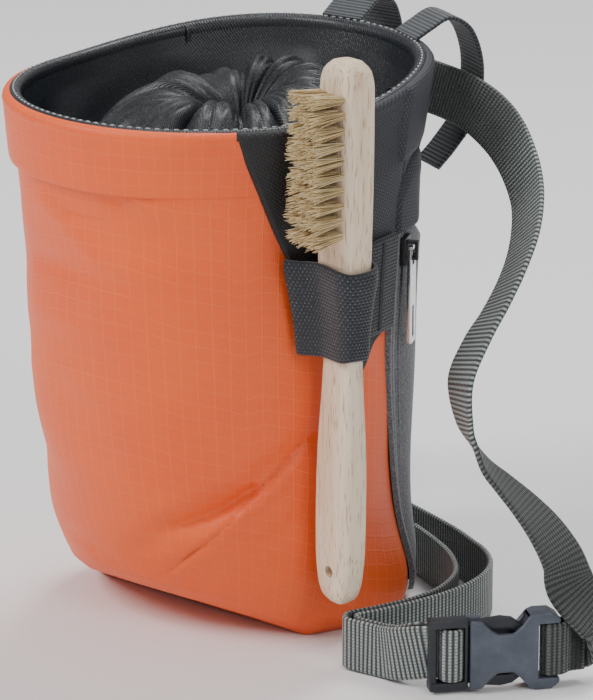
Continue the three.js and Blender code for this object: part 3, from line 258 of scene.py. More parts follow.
def grid_object(name, points, uvs=None, closed=False, smooth=True):
    """Makes a sheet from rows and columns of points. A closed one joins its last column to its first."""
    rows, columns = points.shape[:2]
    if uvs is None:
        wrapped = np.concatenate([points, points[:, :1]], axis=1) if closed else points
        uvs = arc_uvs(wrapped)
    count = columns if closed else columns - 1
    i, j = np.meshgrid(np.arange(rows - 1), np.arange(count), indexing="ij")
    k = (j + 1) % columns
    corners = ((i, j), (i, k), (i + 1, k), (i + 1, j))
    faces = np.stack([row * columns + column for row, column in corners], axis=-1)
    corner_uvs = np.stack([uvs[i, j], uvs[i, j + 1], uvs[i + 1, j + 1], uvs[i + 1, j]], axis=2)
    return as_object(name, points.reshape(-1, 3), faces.reshape(-1, 4), corner_uvs.reshape(-1, 2), smooth)


def dress(obj, material, replaces=(), body="bag"):
    """Puts an object's material in a slot, gives it its body, and hides the solids that it stands for."""
    obj.data.materials.append(material)
    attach(obj, body)
    if replaces:
        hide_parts(*replaces)
    return obj


def add_value(obj, name, values):
    """Stores one number for each point, for the material to read."""
    layer = obj.data.attributes.new(name, "FLOAT", "POINT")
    layer.data.foreach_set("value", np.asarray(values, np.float32).ravel())


# Materials


class Look:
    """A procedural material under construction."""

    def __init__(self, name, color, roughness, **shader_values):
        self.material = bpy.data.materials.new(name)
        self.material.use_nodes = True
        self.tree = self.material.node_tree
        self.shader = self.tree.nodes["Principled BSDF"]
        self.put("Base Color", (*color, 1))
        self.put("Roughness", roughness)
        for key, value in shader_values.items():
            self.put(key.replace("_", " "), value)

    def put(self, socket, value):
        self.wire(value, self.shader.inputs[socket])

    def wire(self, value, socket):
        if isinstance(value, bpy.types.NodeSocket):
            self.tree.links.new(value, socket)
        else:
            socket.default_value = value

    def node(self, kind, **settings):
        node = self.tree.nodes.new("ShaderNode" + kind)
        for key, value in settings.items():
            setattr(node, key, value)
        return node

    def math(self, operation, *values, clamp=False):
        node = self.node("Math", operation=operation, use_clamp=clamp)
        for value, socket in zip(values, node.inputs):
            self.wire(value, socket)
        return node.outputs[0]

    def times(self, first, second):
        return self.math("MULTIPLY", first, second)

    def value(self, name):
        return self.node("Attribute", attribute_name=name).outputs["Fac"]

    def uv(self):
        split = self.node("SeparateXYZ")
        self.wire(self.node("UVMap", uv_map="UVMap").outputs[0], split.inputs[0])
        return split.outputs[0], split.outputs[1]

    def place(self):
        return self.node("TexCoord").outputs["Object"]

    def vector(self, x, y, z=0.0):
        node = self.node("CombineXYZ")
        for value, socket in zip((x, y, z), node.inputs):
            self.wire(value, socket)
        return node.outputs[0]

    def noise(self, vector, scale, detail=3.0, roughness=0.5, stretch=None):
        if stretch:
            mapping = self.node("Mapping")
            self.wire(vector, mapping.inputs["Vector"])
            mapping.inputs["Scale"].default_value = stretch
            vector = mapping.outputs[0]
        node = self.node("TexNoise")
        self.wire(vector, node.inputs["Vector"])
        node.inputs["Scale"].default_value = scale
        node.inputs["Detail"].default_value = detail
        node.inputs["Roughness"].default_value = roughness
        return node.outputs["Fac"]

    def wave(self, coordinate, pitch, phase=0.0):
        """A wave from 0 to 1 with one crest for each pitch of the coordinate."""
        turned = self.math("MULTIPLY_ADD", coordinate, TURN / pitch, phase)
        return self.math("MULTIPLY_ADD", self.math("SINE", turned), 0.5, 0.5)

    def humps(self, coordinate, pitch):
        """Round humps from 0 to 1, one for each pitch of the coordinate."""
        share = self.math("FRACT", self.math("DIVIDE", coordinate, pitch))
        return self.math("SINE", self.times(share, math.pi))

    def line(self, coordinate, pitch, width):
        """1 on thin lines at each pitch of the coordinate, and 0 between them."""
        share = self.math("FRACT", self.math("DIVIDE", coordinate, pitch))
        off = self.math("ABSOLUTE", self.math("SUBTRACT", share, 0.5))
        return self.math("SUBTRACT", 1.0, self.math("DIVIDE", off, width / pitch), clamp=True)

    def mix(self, share, first, second):
        node = self.node("Mix", data_type="RGBA")
        self.wire(share, node.inputs["Factor"])
        for value, socket in ((first, node.inputs[6]), (second, node.inputs[7])):
            self.wire((*value, 1) if isinstance(value, tuple) else value, socket)
        return node.outputs[2]

    def stain(self, base, field, low, high, amount, color):
        """Mixes some of a colour into the base where a field is high."""
        return self.mix(self.times(self.span(field, low, high), amount), base, color)

    def span(self, value, low, high, out_low=0.0, out_high=1.0):
        node = self.node("MapRange")
        for item, socket in zip((value, low, high, out_low, out_high), node.inputs):
            self.wire(item, socket)
        return node.outputs[0]

    def bump(self, *layers):
        """Adds relief from pairs of a height from 0 to 1 and its depth in millimetres."""
        normal = None
        for height, depth in layers:
            node = self.node("Bump")
            node.inputs["Strength"].default_value = 1.0
            node.inputs["Distance"].default_value = depth * MM
            self.wire(height, node.inputs["Height"])
            if normal is not None:
                self.wire(normal, node.inputs["Normal"])
            normal = node.outputs[0]
        self.put("Normal", normal)


def ripstop_look():
    look = Look("orange_ripstop", (0.84, 0.1, 0.012), 0.5, Sheen_Weight=0.1, Sheen_Roughness=0.4)
    look.put("Sheen Tint", (1.0, 0.62, 0.42, 1))
    u, v = look.uv()
    grid = look.math("MAXIMUM", look.line(u, 4.2, 0.34), look.line(v, 4.2, 0.34))
    weave = look.times(look.wave(u, 0.62), look.wave(v, 0.62))
    cloud = look.noise(look.place(), 26, 3)
    slub = look.noise(look.vector(u, v), 1.6, 2, stretch=(0.2, 3.0, 1))
    base = look.mix(look.span(cloud, 0.3, 0.7), (0.82, 0.085, 0.008), (0.88, 0.115, 0.014))
    base = look.mix(look.times(weave, 0.3), base, (0.95, 0.19, 0.035))
    base = look.mix(look.times(grid, 0.16), base, (0.97, 0.3, 0.1))
    base = look.stain(base, slub, 0.55, 0.8, 0.12, (0.6, 0.08, 0.012))
    look.put("Base Color", base)
    look.put("Roughness", look.span(cloud, 0.3, 0.7, 0.44, 0.56))
    look.bump((weave, 0.05), (grid, 0.07), (slub, 0.03))
    return look.material


def woven_look(name, dark, light, pitch, roughness=0.62, depth=0.16, **shader_values):
    """Coarse plain weave: rows of small floats, each row set half a step from the last."""
    look = Look(name, dark, roughness, **shader_values)
    u, v = look.uv()
    row = look.math("FLOOR", look.math("DIVIDE", v, pitch))
    shift = look.times(row, pitch / 2)
    float_u = look.wave(look.math("ADD", u, shift), pitch)
    float_v = look.humps(v, pitch)
    thread = look.times(float_u, float_v)
    cloud = look.noise(look.place(), 60, 2)
    speck = look.noise(look.vector(u, v), 2.3, 2)
    level = look.times(thread, look.span(speck, 0.3, 0.75, 0.35, 1.2))
    base = look.mix(level, dark, light)
    base = look.stain(base, cloud, 0.35, 0.7, 0.25, dark)
    look.put("Base Color", base)
    look.bump((thread, depth), (speck, depth * 0.4))
    return look.material


def felt_look():
    look = Look("heather_felt", (0.12, 0.125, 0.14), 0.95, Sheen_Weight=0.3, Sheen_Roughness=0.6)
    place = look.place()
    fine = look.noise(place, 2600, 2, 0.6)
    fibre = look.noise(place, 1500, 3, 0.7, stretch=(1, 1, 0.35))
    base = look.mix(look.span(fine, 0.4, 0.62), (0.032, 0.034, 0.04), (0.15, 0.155, 0.172))
    base = look.stain(base, fibre, 0.55, 0.72, 0.5, (0.27, 0.28, 0.3))
    look.put("Base Color", base)
    look.bump((fine, 0.14), (fibre, 0.1))
    return look.material


def twill_look():
    """Shiny lining nylon with a fine diagonal twill."""
    look = Look("twill_nylon", (0.01, 0.013, 0.018), 0.3, Coat_Weight=0.2, Coat_Roughness=0.2)
    look.put("Specular IOR Level", 0.5)
    u, v = look.uv()
    lean = look.math("MULTIPLY_ADD", v, 0.62, u)
    rib = look.wave(lean, 0.85)
    cross = look.wave(look.math("MULTIPLY_ADD", v, -1.4, u), 0.6)
    speck = look.noise(look.vector(u, v), 1.1, 2)
    cloud = look.noise(look.place(), 45, 2)
    thread = look.times(rib, look.span(cross, 0, 1, 0.55, 1))
    base = look.mix(thread, (0.002, 0.003, 0.005), (0.016, 0.021, 0.028))
    base = look.stain(base, cloud, 0.4, 0.7, 0.3, (0.004, 0.005, 0.008))
    look.put("Base Color", base)
    look.put("Roughness", look.span(speck, 0.3, 0.7, 0.22, 0.38))
    look.bump((thread, 0.1), (speck, 0.05))
    return look.material


def webbing_look(name, dark, light, rib_pitch, cord_pitch, depth=0.3):
    """Ribbed webbing. u runs across the tape and v along it. A value on each point goes from dark to light:
    its tone, which on the belt is painted shade.
    """
    look = Look(name, dark, 0.6, Sheen_Weight=0.2, Sheen_Roughness=0.5)
    u, v = look.uv()
    tone_and_painted_shade = look.value("tone_and_painted_shade")
    rib = look.wave(v, rib_pitch)
    strand = look.humps(u, cord_pitch)
    bead = look.times(look.span(rib, 0.18, 0.85), look.span(strand, 0.0, 0.8, 0.35, 1))
    speck = look.noise(look.vector(u, v), 2.6, 2)
    level = look.times(bead, look.span(speck, 0.3, 0.7, 0.5, 1.1))
    # Painted shade: the value on each point darkens both thread colours where the belt lies in shade.
    light_thread = look.mix(tone_and_painted_shade, tuple(x * 0.16 for x in light), light)
    dark_thread = look.mix(tone_and_painted_shade, tuple(x * 0.35 for x in dark), dark)
    look.put("Base Color", look.mix(level, dark_thread, light_thread))
    look.bump((rib, depth), (strand, depth * 0.5), (speck, depth * 0.25))
    return look.material


def elastic_look():
    look = Look("elastic", (0.02, 0.025, 0.035), 0.7, Sheen_Weight=0.2)
    u, v = look.uv()
    rib = look.wave(u, 1.0)
    dash = look.wave(look.math("MULTIPLY_ADD", look.math("FLOOR", u), 0.55, v), 1.1)
    speck = look.noise(look.vector(u, v), 2.0, 2)
    level = look.times(look.times(rib, look.span(dash, 0.55, 0.95)), look.span(speck, 0.35, 0.7))
    look.put("Base Color", look.mix(level, (0.005, 0.007, 0.012), (0.14, 0.165, 0.19)))
    look.bump((rib, 0.18), (level, 0.12))
    return look.material


def wood_look():
    look = Look("pale_beech", (0.78, 0.62, 0.44), 0.5)
    place = look.place()
    ring = look.noise(place, 95, 4, 0.55, stretch=(1.6, 1.6, 0.1))
    fine = look.noise(place, 900, 2, 0.5, stretch=(1, 1, 0.05))
    pore = look.noise(place, 1500, 1, 0.4, stretch=(1.6, 1.6, 0.11))
    patch = look.noise(place, 42, 3, 0.6, stretch=(1, 1, 0.5))
    base = look.mix(look.span(ring, 0.35, 0.68), (0.86, 0.72, 0.55), (0.7, 0.5, 0.33))
    base = look.stain(base, fine, 0.45, 0.8, 0.35, (0.93, 0.84, 0.7))
    base = look.stain(base, pore, 0.63, 0.7, 0.75, (0.42, 0.24, 0.12))
    base = look.stain(base, patch, 0.6, 0.8, 0.45, (0.58, 0.36, 0.2))
    look.put("Base Color", base)
    look.bump((fine, 0.05), (look.span(pore, 0.6, 0.7, 1, 0), 0.12))
    return look.material


def bristle_look():
    look = Look("bristle", (0.66, 0.5, 0.27), 0.55)
    tint = look.value("tint")
    base = look.mix(look.span(tint, 0.0, 0.8), (0.4, 0.25, 0.09), (0.82, 0.66, 0.38))
    look.put("Base Color", look.mix(look.span(tint, 0.8, 1.0), base, (0.95, 0.86, 0.62)))
    return look.material


def plastic_look(name, dark, light):
    look = Look(name, dark, 0.42)
    place = look.place()
    fine = look.noise(place, 4200, 2, 0.6)
    wear = look.noise(place, 160, 3, 0.6)
    base = look.mix(look.span(wear, 0.35, 0.7), dark, light)
    look.put("Base Color", base)
    look.put("Roughness", look.span(fine, 0.3, 0.7, 0.34, 0.56))
    look.bump((fine, 0.05))
    return look.material


def metal_look(name, color, roughness, metallic=1.0):
    look = Look(name, color, roughness, Metallic=metallic)
    place = look.place()
    brushed = look.noise(place, 1200, 2, 0.6, stretch=(1, 1, 0.08))
    look.put("Roughness", look.span(brushed, 0.3, 0.7, roughness * 0.75, roughness * 1.4))
    look.bump((brushed, 0.015))
    return look.material


def thread_look(name, color):
    look = Look(name, color, 0.6, Sheen_Weight=0.2)
    twist = look.noise(look.place(), 3500, 1)
    look.put("Base Color", look.mix(twist, tuple(x * 0.6 for x in color), color))
    return look.material


ORANGE = ripstop_look()
BLACK = woven_look("black_fabric", (0.0045, 0.005, 0.006), (0.021, 0.0225, 0.025), 0.8, depth=0.1)
GREY = woven_look("grey_woven", (0.013, 0.015, 0.02), (0.098, 0.105, 0.13), 0.95)
FELT = felt_look()
NYLON = twill_look()
WEBBING = webbing_look("webbing", (0.022, 0.027, 0.028), (0.42, 0.48, 0.46), 1.35, 0.9)
LOOP_TAPE = webbing_look("loop_tape", (0.006, 0.008, 0.011), (0.1, 0.12, 0.14), 1.2, 0.85, depth=0.2)
ELASTIC = elastic_look()
WOOD = wood_look()
BRISTLE = bristle_look()
PLASTIC = plastic_look("slate_plastic", (0.05, 0.06, 0.083), (0.08, 0.094, 0.122))
DARK_PLASTIC = plastic_look("dark_plastic", (0.008, 0.01, 0.015), (0.018, 0.021, 0.029))
SILVER = metal_look("silver", (0.72, 0.73, 0.75), 0.2)
BLACK_METAL = metal_look("black_metal", (0.03, 0.03, 0.034), 0.35, 0.6)
PALE_THREAD = thread_look("pale_thread", (0.5, 0.52, 0.54))
DARK_THREAD = thread_look("dark_thread", (0.02, 0.022, 0.026))


# The bag's cloth


def photo_pixel(points):
    """Where points in millimetres fall in the photograph, in its pixels."""
    camera = bpy.context.scene.camera
    turn = np.array(camera.rotation_euler.to_matrix()).T
    seen = (points * MM - np.array(camera.location)) @ turn.T
    scale = FOCAL_PIXELS / -seen[..., 2]
    return PHOTO_WIDTH / 2 + seen[..., 0] * scale, PHOTO_HEIGHT / 2 - seen[..., 1] * scale


def facing(points):
    """From 0 at the bag's outline to 1 where its wall faces the camera."""
    out = points[..., :2] / np.maximum(np.linalg.norm(points[..., :2], axis=-1, keepdims=True), 1e-6)
    camera = bpy.context.scene.camera.location
    toward = np.array([camera.x, camera.y]) / math.hypot(camera.x, camera.y)
    return smooth_step(out @ toward, -0.1, 0.35)


# Folds of the front panel. Each has its line in the photograph, its half width in pixels and its
# depth in millimetres at the line's start and end.
FOLDS = [
    ([(314, 430), (288, 458), (260, 490), (228, 525), (195, 551), (152, 584)], 1.6, 0.9, 0.9),
    ([(318, 440), (292, 468), (264, 500), (232, 535), (199, 560), (156, 590)], 6, -0.5, -0.5),
    ([(262, 484), (236, 503), (208, 517), (176, 525), (140, 526)], 6.5, 3.0, 0.3),
    ([(262, 476), (226, 492), (186, 506), (150, 510)], 11, -0.9, -0.3),
    ([(250, 508), (222, 530), (190, 546)], 4.5, -1.1, -0.5),
    ([(66, 214), (90, 221), (112, 224)], 3.2, 0.9, 0.2),
    ([(34, 190), (66, 226), (98, 262), (150, 280)], 10, -1.0, -0.4),
    ([(104, 190), (124, 212), (150, 232), (196, 250)], 8, 1.0, 0.3),
    ([(130, 196), (170, 216), (226, 236)], 8, -0.7, -0.2),
    ([(30, 250), (80, 278), (140, 296), (200, 300)], 10, 0.8, 0.2),
    ([(26, 300), (80, 330), (130, 340)], 14, -0.7, -0.2),
    ([(44, 380), (90, 420), (120, 470)], 16, 0.7, 0.3),
    ([(226, 160), (250, 208), (262, 240)], 8, 0.5, 0.2),
    ([(178, 600), (240, 590), (300, 582), (380, 560)], 9, -0.7, -0.3),
    ([(60, 524), (96, 548), (130, 566)], 6, 0.8, 0.3),
    ([(250, 552), (300, 520), (318, 500)], 8, 0.6, 0.2),
]


def fold_depth(points, folds=FOLDS):
    """How far the folds push the cloth in at each point, in millimetres."""
    px, py = photo_pixel(points)
    depth = np.zeros(px.shape)
    for line, width, start, end in folds:
        line = np.array(line, float)
        steps = np.linalg.norm(np.diff(line, axis=0), axis=1)
        ends = np.concatenate([[0], np.cumsum(steps)]) / steps.sum()
        nearest = np.full(px.shape, 1e9)
        share = np.zeros(px.shape)
        for k in range(len(steps)):
            ax, ay = line[k]
            dx, dy = line[k + 1] - line[k]
            t = np.clip(((px - ax) * dx + (py - ay) * dy) / (dx * dx + dy * dy), 0, 1)
            far = np.hypot(px - ax - t * dx, py - ay - t * dy)
            closer = far < nearest
            nearest = np.where(closer, far, nearest)
            share = np.where(closer, ends[k] + t * (ends[k + 1] - ends[k]), share)
        fade = smooth_step(share, -0.02, 0.1) * (1 - smooth_step(share, 0.85, 1.02))
        depth += (start + (end - start) * share) * fade * np.exp(-((nearest / width) ** 2))
    return depth * facing(points)


def make_shell():
    columns = 360
    angles = np.linspace(0, 360, columns, endpoint=False)
    base = [bag_point(angles, 0.0, 0.0, reach) for reach in np.linspace(0.02, 0.98, 16)]
    body, top = np.linspace(0.1, 0.9, 150), np.linspace(0.9, 0.985, 12)
    heights = np.concatenate([np.linspace(0, 0.1, 22), body[1:], top[1:]])
    angle, height = np.meshgrid(angles, heights)
    wall = bag_point(angle, height)
    ripple = round_waves(3, 2, angle, 5 * height, octaves=3)
    crumple = round_waves(8, 6, angle, 16 * height)
    away = 1 - facing(wall)
    low = np.exp(-((height - 0.03) / 0.05) ** 2)
    offset = 0.5 * ripple + 0.16 * crumple - fold_depth(wall) - 0.6 * away * np.abs(crumple)
    offset = offset * smooth_step(height, 0.0, 0.06) + 0.3 * low * np.sin(34 * np.radians(angle)) * crumple
    offset = offset * (1 - smooth_step(height, 0.86, 0.89))
    wall = bag_point(angle, height, offset)
    rim_section = ((-0.2, -1.5), (-0.8, -0.4), (-1.6, -1.6))
    rim = [bag_point(angles, 1.0, offset, 1.0, lift) for offset, lift in rim_section]
    points = np.stack([*base, *wall, *rim])
    uvs = arc_uvs(np.concatenate([points, points[:, :1]], axis=1))
    shell = grid_object("shell_cloth", points, uvs, closed=True)
    dress(shell, ORANGE, ["shell"])


def rolled_rim(outer, inner=-3.2):
    """The upper end of a band's section: over the rim and down inside, as height, offset and lift."""
    return [
        (1.0, outer, -1.6),
        (1.0, outer - 0.15, -0.7),
        (1.0, outer - 0.7, 0.1),
        (1.0, outer - 1.7, 0.5),
        (1.0, (outer + inner) / 2, 0.55),
        (1.0, inner + 0.9, 0.35),
        (1.0, inner + 0.2, -0.4),
        (1.0, inner, -1.6),
        (1.0, inner, -4.0),
    ]


def make_band(name, angles, section, shift=None):
    """A band round the bag. section lists height, offset and lift, and shift(angle, height) adds relief."""
    rows = []
    for height, offset, lift in section:
        extra = 0 if shift is None else shift(angles, np.full(angles.shape, height))
        rows.append(bag_point(angles, np.full(angles.shape, height), offset + extra, 1.0, lift))
    return grid_object(name, np.stack(rows))


def up_wall(start, end, offset, count):
    return [(h, offset, 0.0) for h in np.linspace(start, end, count)]


def make_hem():
    outer = PANEL_GAP + HEM_WALL * 0.85
    angles = np.linspace(COLLAR_END + 1, 360 - 22, 270)
    section = [
        (HEM_FROM + 0.01, 0.1, 0.0),
        (HEM_FROM - 0.001, outer * 0.5, 0.0),
        (HEM_FROM + 0.002, outer * 0.92, 0.0),
    ]
    section += up_wall(HEM_FROM + 0.008, 0.985, outer, 16) + rolled_rim(outer)

    def relief(angle, height):
        fade = smooth_step(height, HEM_FROM - 0.005, HEM_FROM + 0.02) * (1 - smooth_step(height, 0.97, 1.0))
        flat = -(outer - 0.3) * smooth_step(angle, 286, 322) * (1 - smooth_step(height, 0.93, 0.985))
        flat = flat - 0.6 * smooth_step(angle, 318, 327) * smooth_step(height, 0.93, 0.985)
        soft = 0.25 * round_waves(5, 5, angle, 14 * height)
        return soft * fade + flat

    hem = make_band("hem_cloth", angles, section, relief)
    dress(hem, ORANGE, ["front_hem"])


def make_side_panel():
    """The wedge beside the brush is black to the brush's left, and coarse grey to its right."""
    split = 2.0
    heights = np.linspace(0.49, 0.985, 70)
    left = read_table(PANEL_HEIGHT, PANEL_LEFT, heights)
    right = read_table(PANEL_HEIGHT, PANEL_RIGHT, heights)
    above = smooth_step(heights, 0.57, 0.6)
    right = right + above * (29.3 - 4.9 * smooth_step(heights, 0.868, 0.884) - right)
    for name, start, end, material, slot, replaces in (
        ("side_wedge_cloth", left, np.maximum(left, split), BLACK, "black_fabric", ["side_panel"]),
        ("side_strip_cloth", np.maximum(left, split), right, GREY, "grey_woven", []),
    ):
        across = np.linspace(0, 1, 44)
        angle = start[:, None] + (end - start)[:, None] * across
        height = np.repeat(heights[:, None], len(across), axis=1)
        edge = np.minimum(angle - left[:, None], right[:, None] - angle)
        offset = 0.25 + (PANEL_GAP + PANEL_WALL - 0.35) * smooth_step(edge, 0.0, 1.0)
        offset += 0.15 * wavy(12, angle / 9, height * 12) * smooth_step(edge, 0.5, 2.5)
        rows = list(bag_point(angle, height, offset))
        for h, rim_offset, lift in rolled_rim(PANEL_GAP + PANEL_WALL):
            rows.append(bag_point(angle[-1], np.full(len(across), h), rim_offset, 1.0, lift))
        panel = grid_object(name, np.stack(rows))
        dress(panel, material, replaces)


def make_collar():
    outer = PANEL_GAP + COLLAR_WALL * 0.8
    angles = np.linspace(COLLAR_START - 0.6, COLLAR_END + 1.0, 240)
    section = [
        (COLLAR_FROM + 0.012, 0.3, 0.0),
        (COLLAR_FROM, outer * 0.6, 0.0),
        (COLLAR_FROM + 0.006, outer, 0.0),
    ]
    section += up_wall(COLLAR_FROM + 0.014, 0.985, outer + 0.2, 16) + rolled_rim(outer + 0.2)

    def relief(angle, height):
        fade = 1 - smooth_step(height, 0.985, 1.0)
        from_end = np.minimum(angle - COLLAR_START, COLLAR_END - angle)
        ends = -outer * 0.75 * (1 - smooth_step(from_end, -0.6, 1.2))
        soft = 0.45 * round_waves(15, 5, angle, 10 * height)
        return soft * fade + ends

    collar = make_band("collar_cloth", angles, section, relief)
    dress(collar, GREY, ["back_collar"])


def yoke_offset(angle, up):
    from_side = np.clip(np.minimum(angle - BACK_FROM, BACK_TO - angle) / 12, 0, 1)
    side = PANEL_WALL + (POCKET_PAD * 0.55 - PANEL_WALL) * from_side
    return PANEL_GAP + np.maximum(PANEL_WALL, side * (1 - 0.5 * up))


def make_yoke():
    under_collar = 0.006
    for name, start, end, columns, node in (
        ("yoke_cloth", GARAGE_TO, BACK_TO, 110, "back_yoke"),
        ("zip_hood_cloth", BACK_FROM, GARAGE_TO, 70, "zip_garage"),
    ):
        angles = np.linspace(start, end, columns)
        heights = np.linspace(YOKE_FROM, COLLAR_FROM + under_collar, 40)
        angle, height = np.meshgrid(angles, heights)
        up = (height - YOKE_FROM) / (COLLAR_FROM - YOKE_FROM)
        offset = yoke_offset(angle, up)
        offset += 0.35 * round_waves(21, 5, angle, 9 * height)
        if node == "zip_garage":
            # the hood is padded below a seam that arches over it
            arch = 0.985 - 0.62 * np.abs((angle - 43) / 17) ** 2.6
            inside = arch - up
            offset += 1.1 * smooth_step(inside, 0.0, 0.3) - 0.9 * np.exp(-((inside / 0.045) ** 2))
        offset = np.maximum(offset, 0.4)
        edge = smooth_step(up, 0.0, 0.05)
        offset = 0.2 + (offset - 0.2) * (0.35 + 0.65 * edge)
        sides = smooth_step(np.minimum(angle - start, end - angle), 0, 0.8)
        offset = 0.3 + (offset - 0.3) * (0.25 + 0.75 * sides)
        rows = bag_point(angle, height, offset)
        under = bag_point(angles, np.full(angles.shape, YOKE_FROM + 0.012), 0.25)
        cloth = grid_object(name, np.concatenate([under[None], rows]))
        dress(cloth, GREY, [node])


def swept(angle, height):
    """The border of the front panel, and what is behind it, runs back towards the base."""
    turn = 19 * (1 - smooth_step(height, 0.02, 0.54))
    return angle + turn * np.clip((104 - angle) / (104 - BACK_FROM), 0, 1)


def make_pocket():
    angles = np.linspace(ZIP_TO, BACK_TO + 0.5, 230)
    heights = np.linspace(POCKET_FROM - 0.005, YOKE_FROM + 0.004, 170)
    angle, height = np.meshgrid(angles, heights)
    across = (angle - ZIP_TO) / (BACK_TO - ZIP_TO)
    up = (height - POCKET_FROM) / (YOKE_FROM - POCKET_FROM)
    side = np.sin(math.pi / 2 * np.clip(np.minimum(across, 1 - across) / 0.16, 0, 1))
    ends = np.sin(math.pi / 2 * np.clip(np.minimum(up, 1 - up) / 0.07, 0, 1))
    pad = 0.35 + (POCKET_PAD - 0.35) * np.minimum(side, ends)
    soft = round_waves(31, 3, angle, 5 * height, octaves=3)
    quilt = -1.0 * np.exp(-(((angle - 96) / 1.6) ** 2)) * smooth_step(ends, 0.2, 1)
    offset = PANEL_GAP + pad + (0.55 * soft + quilt) * np.minimum(side, ends)
    pocket = grid_object("pocket_cloth", bag_point(swept(angle, height), height, offset))
    dress(pocket, FELT, ["back_pocket"])


# Across the zip's strip: its coil's groove, the flap folds beside it and a seam, each with its angle, half
# width in degrees and height in millimetres
COIL_AT = 37
STRIP_RELIEF = [(COIL_AT, 1.15, -0.75), (34.9, 0.8, 0.45), (39.1, 0.8, 0.45), (31.6, 0.35, -0.35)]


def make_zip_strip():
    """The strip beside the pocket: a flat tape, the zip's coil, and a flap's fold on each side of it."""
    angles = np.linspace(BACK_FROM - 0.6, ZIP_TO + 0.6, 90)
    heights = np.linspace(POCKET_FROM - 0.004, YOKE_FROM + 0.004, 150)
    angle, height = np.meshgrid(angles, heights)
    edge = smooth_step(np.minimum(angle - BACK_FROM, ZIP_TO - angle), -0.6, 0.8)
    relief = 0.25 * wavy(41, angle / 8, height * 9)
    for at, wide, high in STRIP_RELIEF:
        relief = relief + high * np.exp(-(((angle - at) / wide) ** 2))
    offset = 0.25 + (PANEL_GAP + PANEL_WALL - 0.3 + relief) * edge
    strip = grid_object("zip_strip_cloth", bag_point(swept(angle, height), height, offset))
    dress(strip, FELT, ["zip_tape"])
    blocks = []
    for level in np.arange(POCKET_FROM + 0.02, YOKE_FROM - 0.035, 0.0075):
        for side in (-1, 1):
            turn = float(swept(COIL_AT + side * 0.42, level))
            at = bag_point(turn, level + (side + 1) * 0.0018, PANEL_GAP + PANEL_WALL - 0.55)
            blocks.append((at, (0.42, 0.55, 0.38), math.radians(turn), 0.0))
    block_object("zip_coil", blocks, BLACK_METAL)


def add_block(vertices, faces, middle, half, turn, lean):
    """Adds a small block with its corners cut, turned about the vertical. half is out, across and up."""
    first = len(vertices)
    out = np.array([math.cos(turn), math.sin(turn), 0])
    across = np.array([-math.sin(turn), math.cos(turn), lean])
    for z, shrink in ((-1, 0.6), (-0.5, 1), (0.5, 1), (1, 0.6)):
        for a, b in ((-1, -1), (1, -1), (1, 1), (-1, 1)):
            corner = np.asarray(middle) + out * a * half[0] * shrink + across * b * half[1] * shrink
            vertices.append(corner + np.array([0, 0, z * half[2]]))
    for ring in range(3):
        for side in range(4):
            a, b = first + ring * 4 + side, first + ring * 4 + (side + 1) % 4
            faces.append([a, b, b + 4, a + 4])
    faces.append([first + 3, first + 2, first + 1, first])
    faces.append([first + 12, first + 13, first + 14, first + 15])


def block_object(name, blocks, material):
    """Makes one object of small blocks, each with its middle, half sizes, turn and lean."""
    vertices, faces = [], []
    for block in blocks:
        add_block(vertices, faces, *block)
    made = as_object(name, vertices, faces, np.zeros((4 * len(faces), 2)), smooth=False)
    return dress(made, material)


# The facing's section from outside to inside, as offset and lift from the rim
RIM_FACING = [
    (0.1, 0.2), (-0.2, 0.72), (-1.1, 0.98), (-2.2, 0.85),
    (-3.0, 0.3), (-3.45, -0.7), (-3.5, -2.2), (-3.5, -6.0),
]
STITCH_PITCH = 2.7


def make_rim_facing():
    """A dark ring over the rim's top and down its inside, with a row of pale stitches."""
    angles = np.linspace(0, 360, 300, endpoint=False)
    rows = [bag_point(angles, 1.0, offset, 1.0, lift) for offset, lift in RIM_FACING]
    facing_ring = grid_object("rim_facing", np.stack(rows), closed=True)
    dress(facing_ring, NYLON)
    blocks = []
    for angle in np.arange(0, 360, STITCH_PITCH):
        at = bag_point(angle, 1.0, -1.15, 1.0, 0.98)
        blocks.append((at, (0.2, 0.62, 0.2), math.radians(angle), 0.0))
    block_object("rim_stitches", blocks, PALE_THREAD)


make_shell()
make_hem()
make_rim_facing()
make_side_panel()
make_collar()
make_yoke()
make_pocket()
make_zip_strip()


# The gathered lining

# The cloth's size for its weave, then its profile from the rim in to the gathered middle: reach as a share
# of the rim's inner radius, and drop below the rim as a share of BAG_HEIGHT
LINING_AROUND = 340
LINING_DOWN = 90
LINING_AT = [0, 0.1, 0.22, 0.32, 0.42, 0.56, 0.68, 0.78, 0.86, 0.93, 1.0]
LINING_REACH = [1.0, 0.985, 0.955, 0.89, 0.79, 0.64, 0.49, 0.35, 0.245, 0.15, 0.07]
LINING_DROP = [0.004, 0.055, 0.115, 0.15, 0.13, 0.075, 0.04, 0.028, 0.04, 0.07, 0.11]


def pleat(turn):
    """A round crest between sharp creases, from 0 to 1."""
    return np.abs(np.sin(turn / 2)) ** 0.75


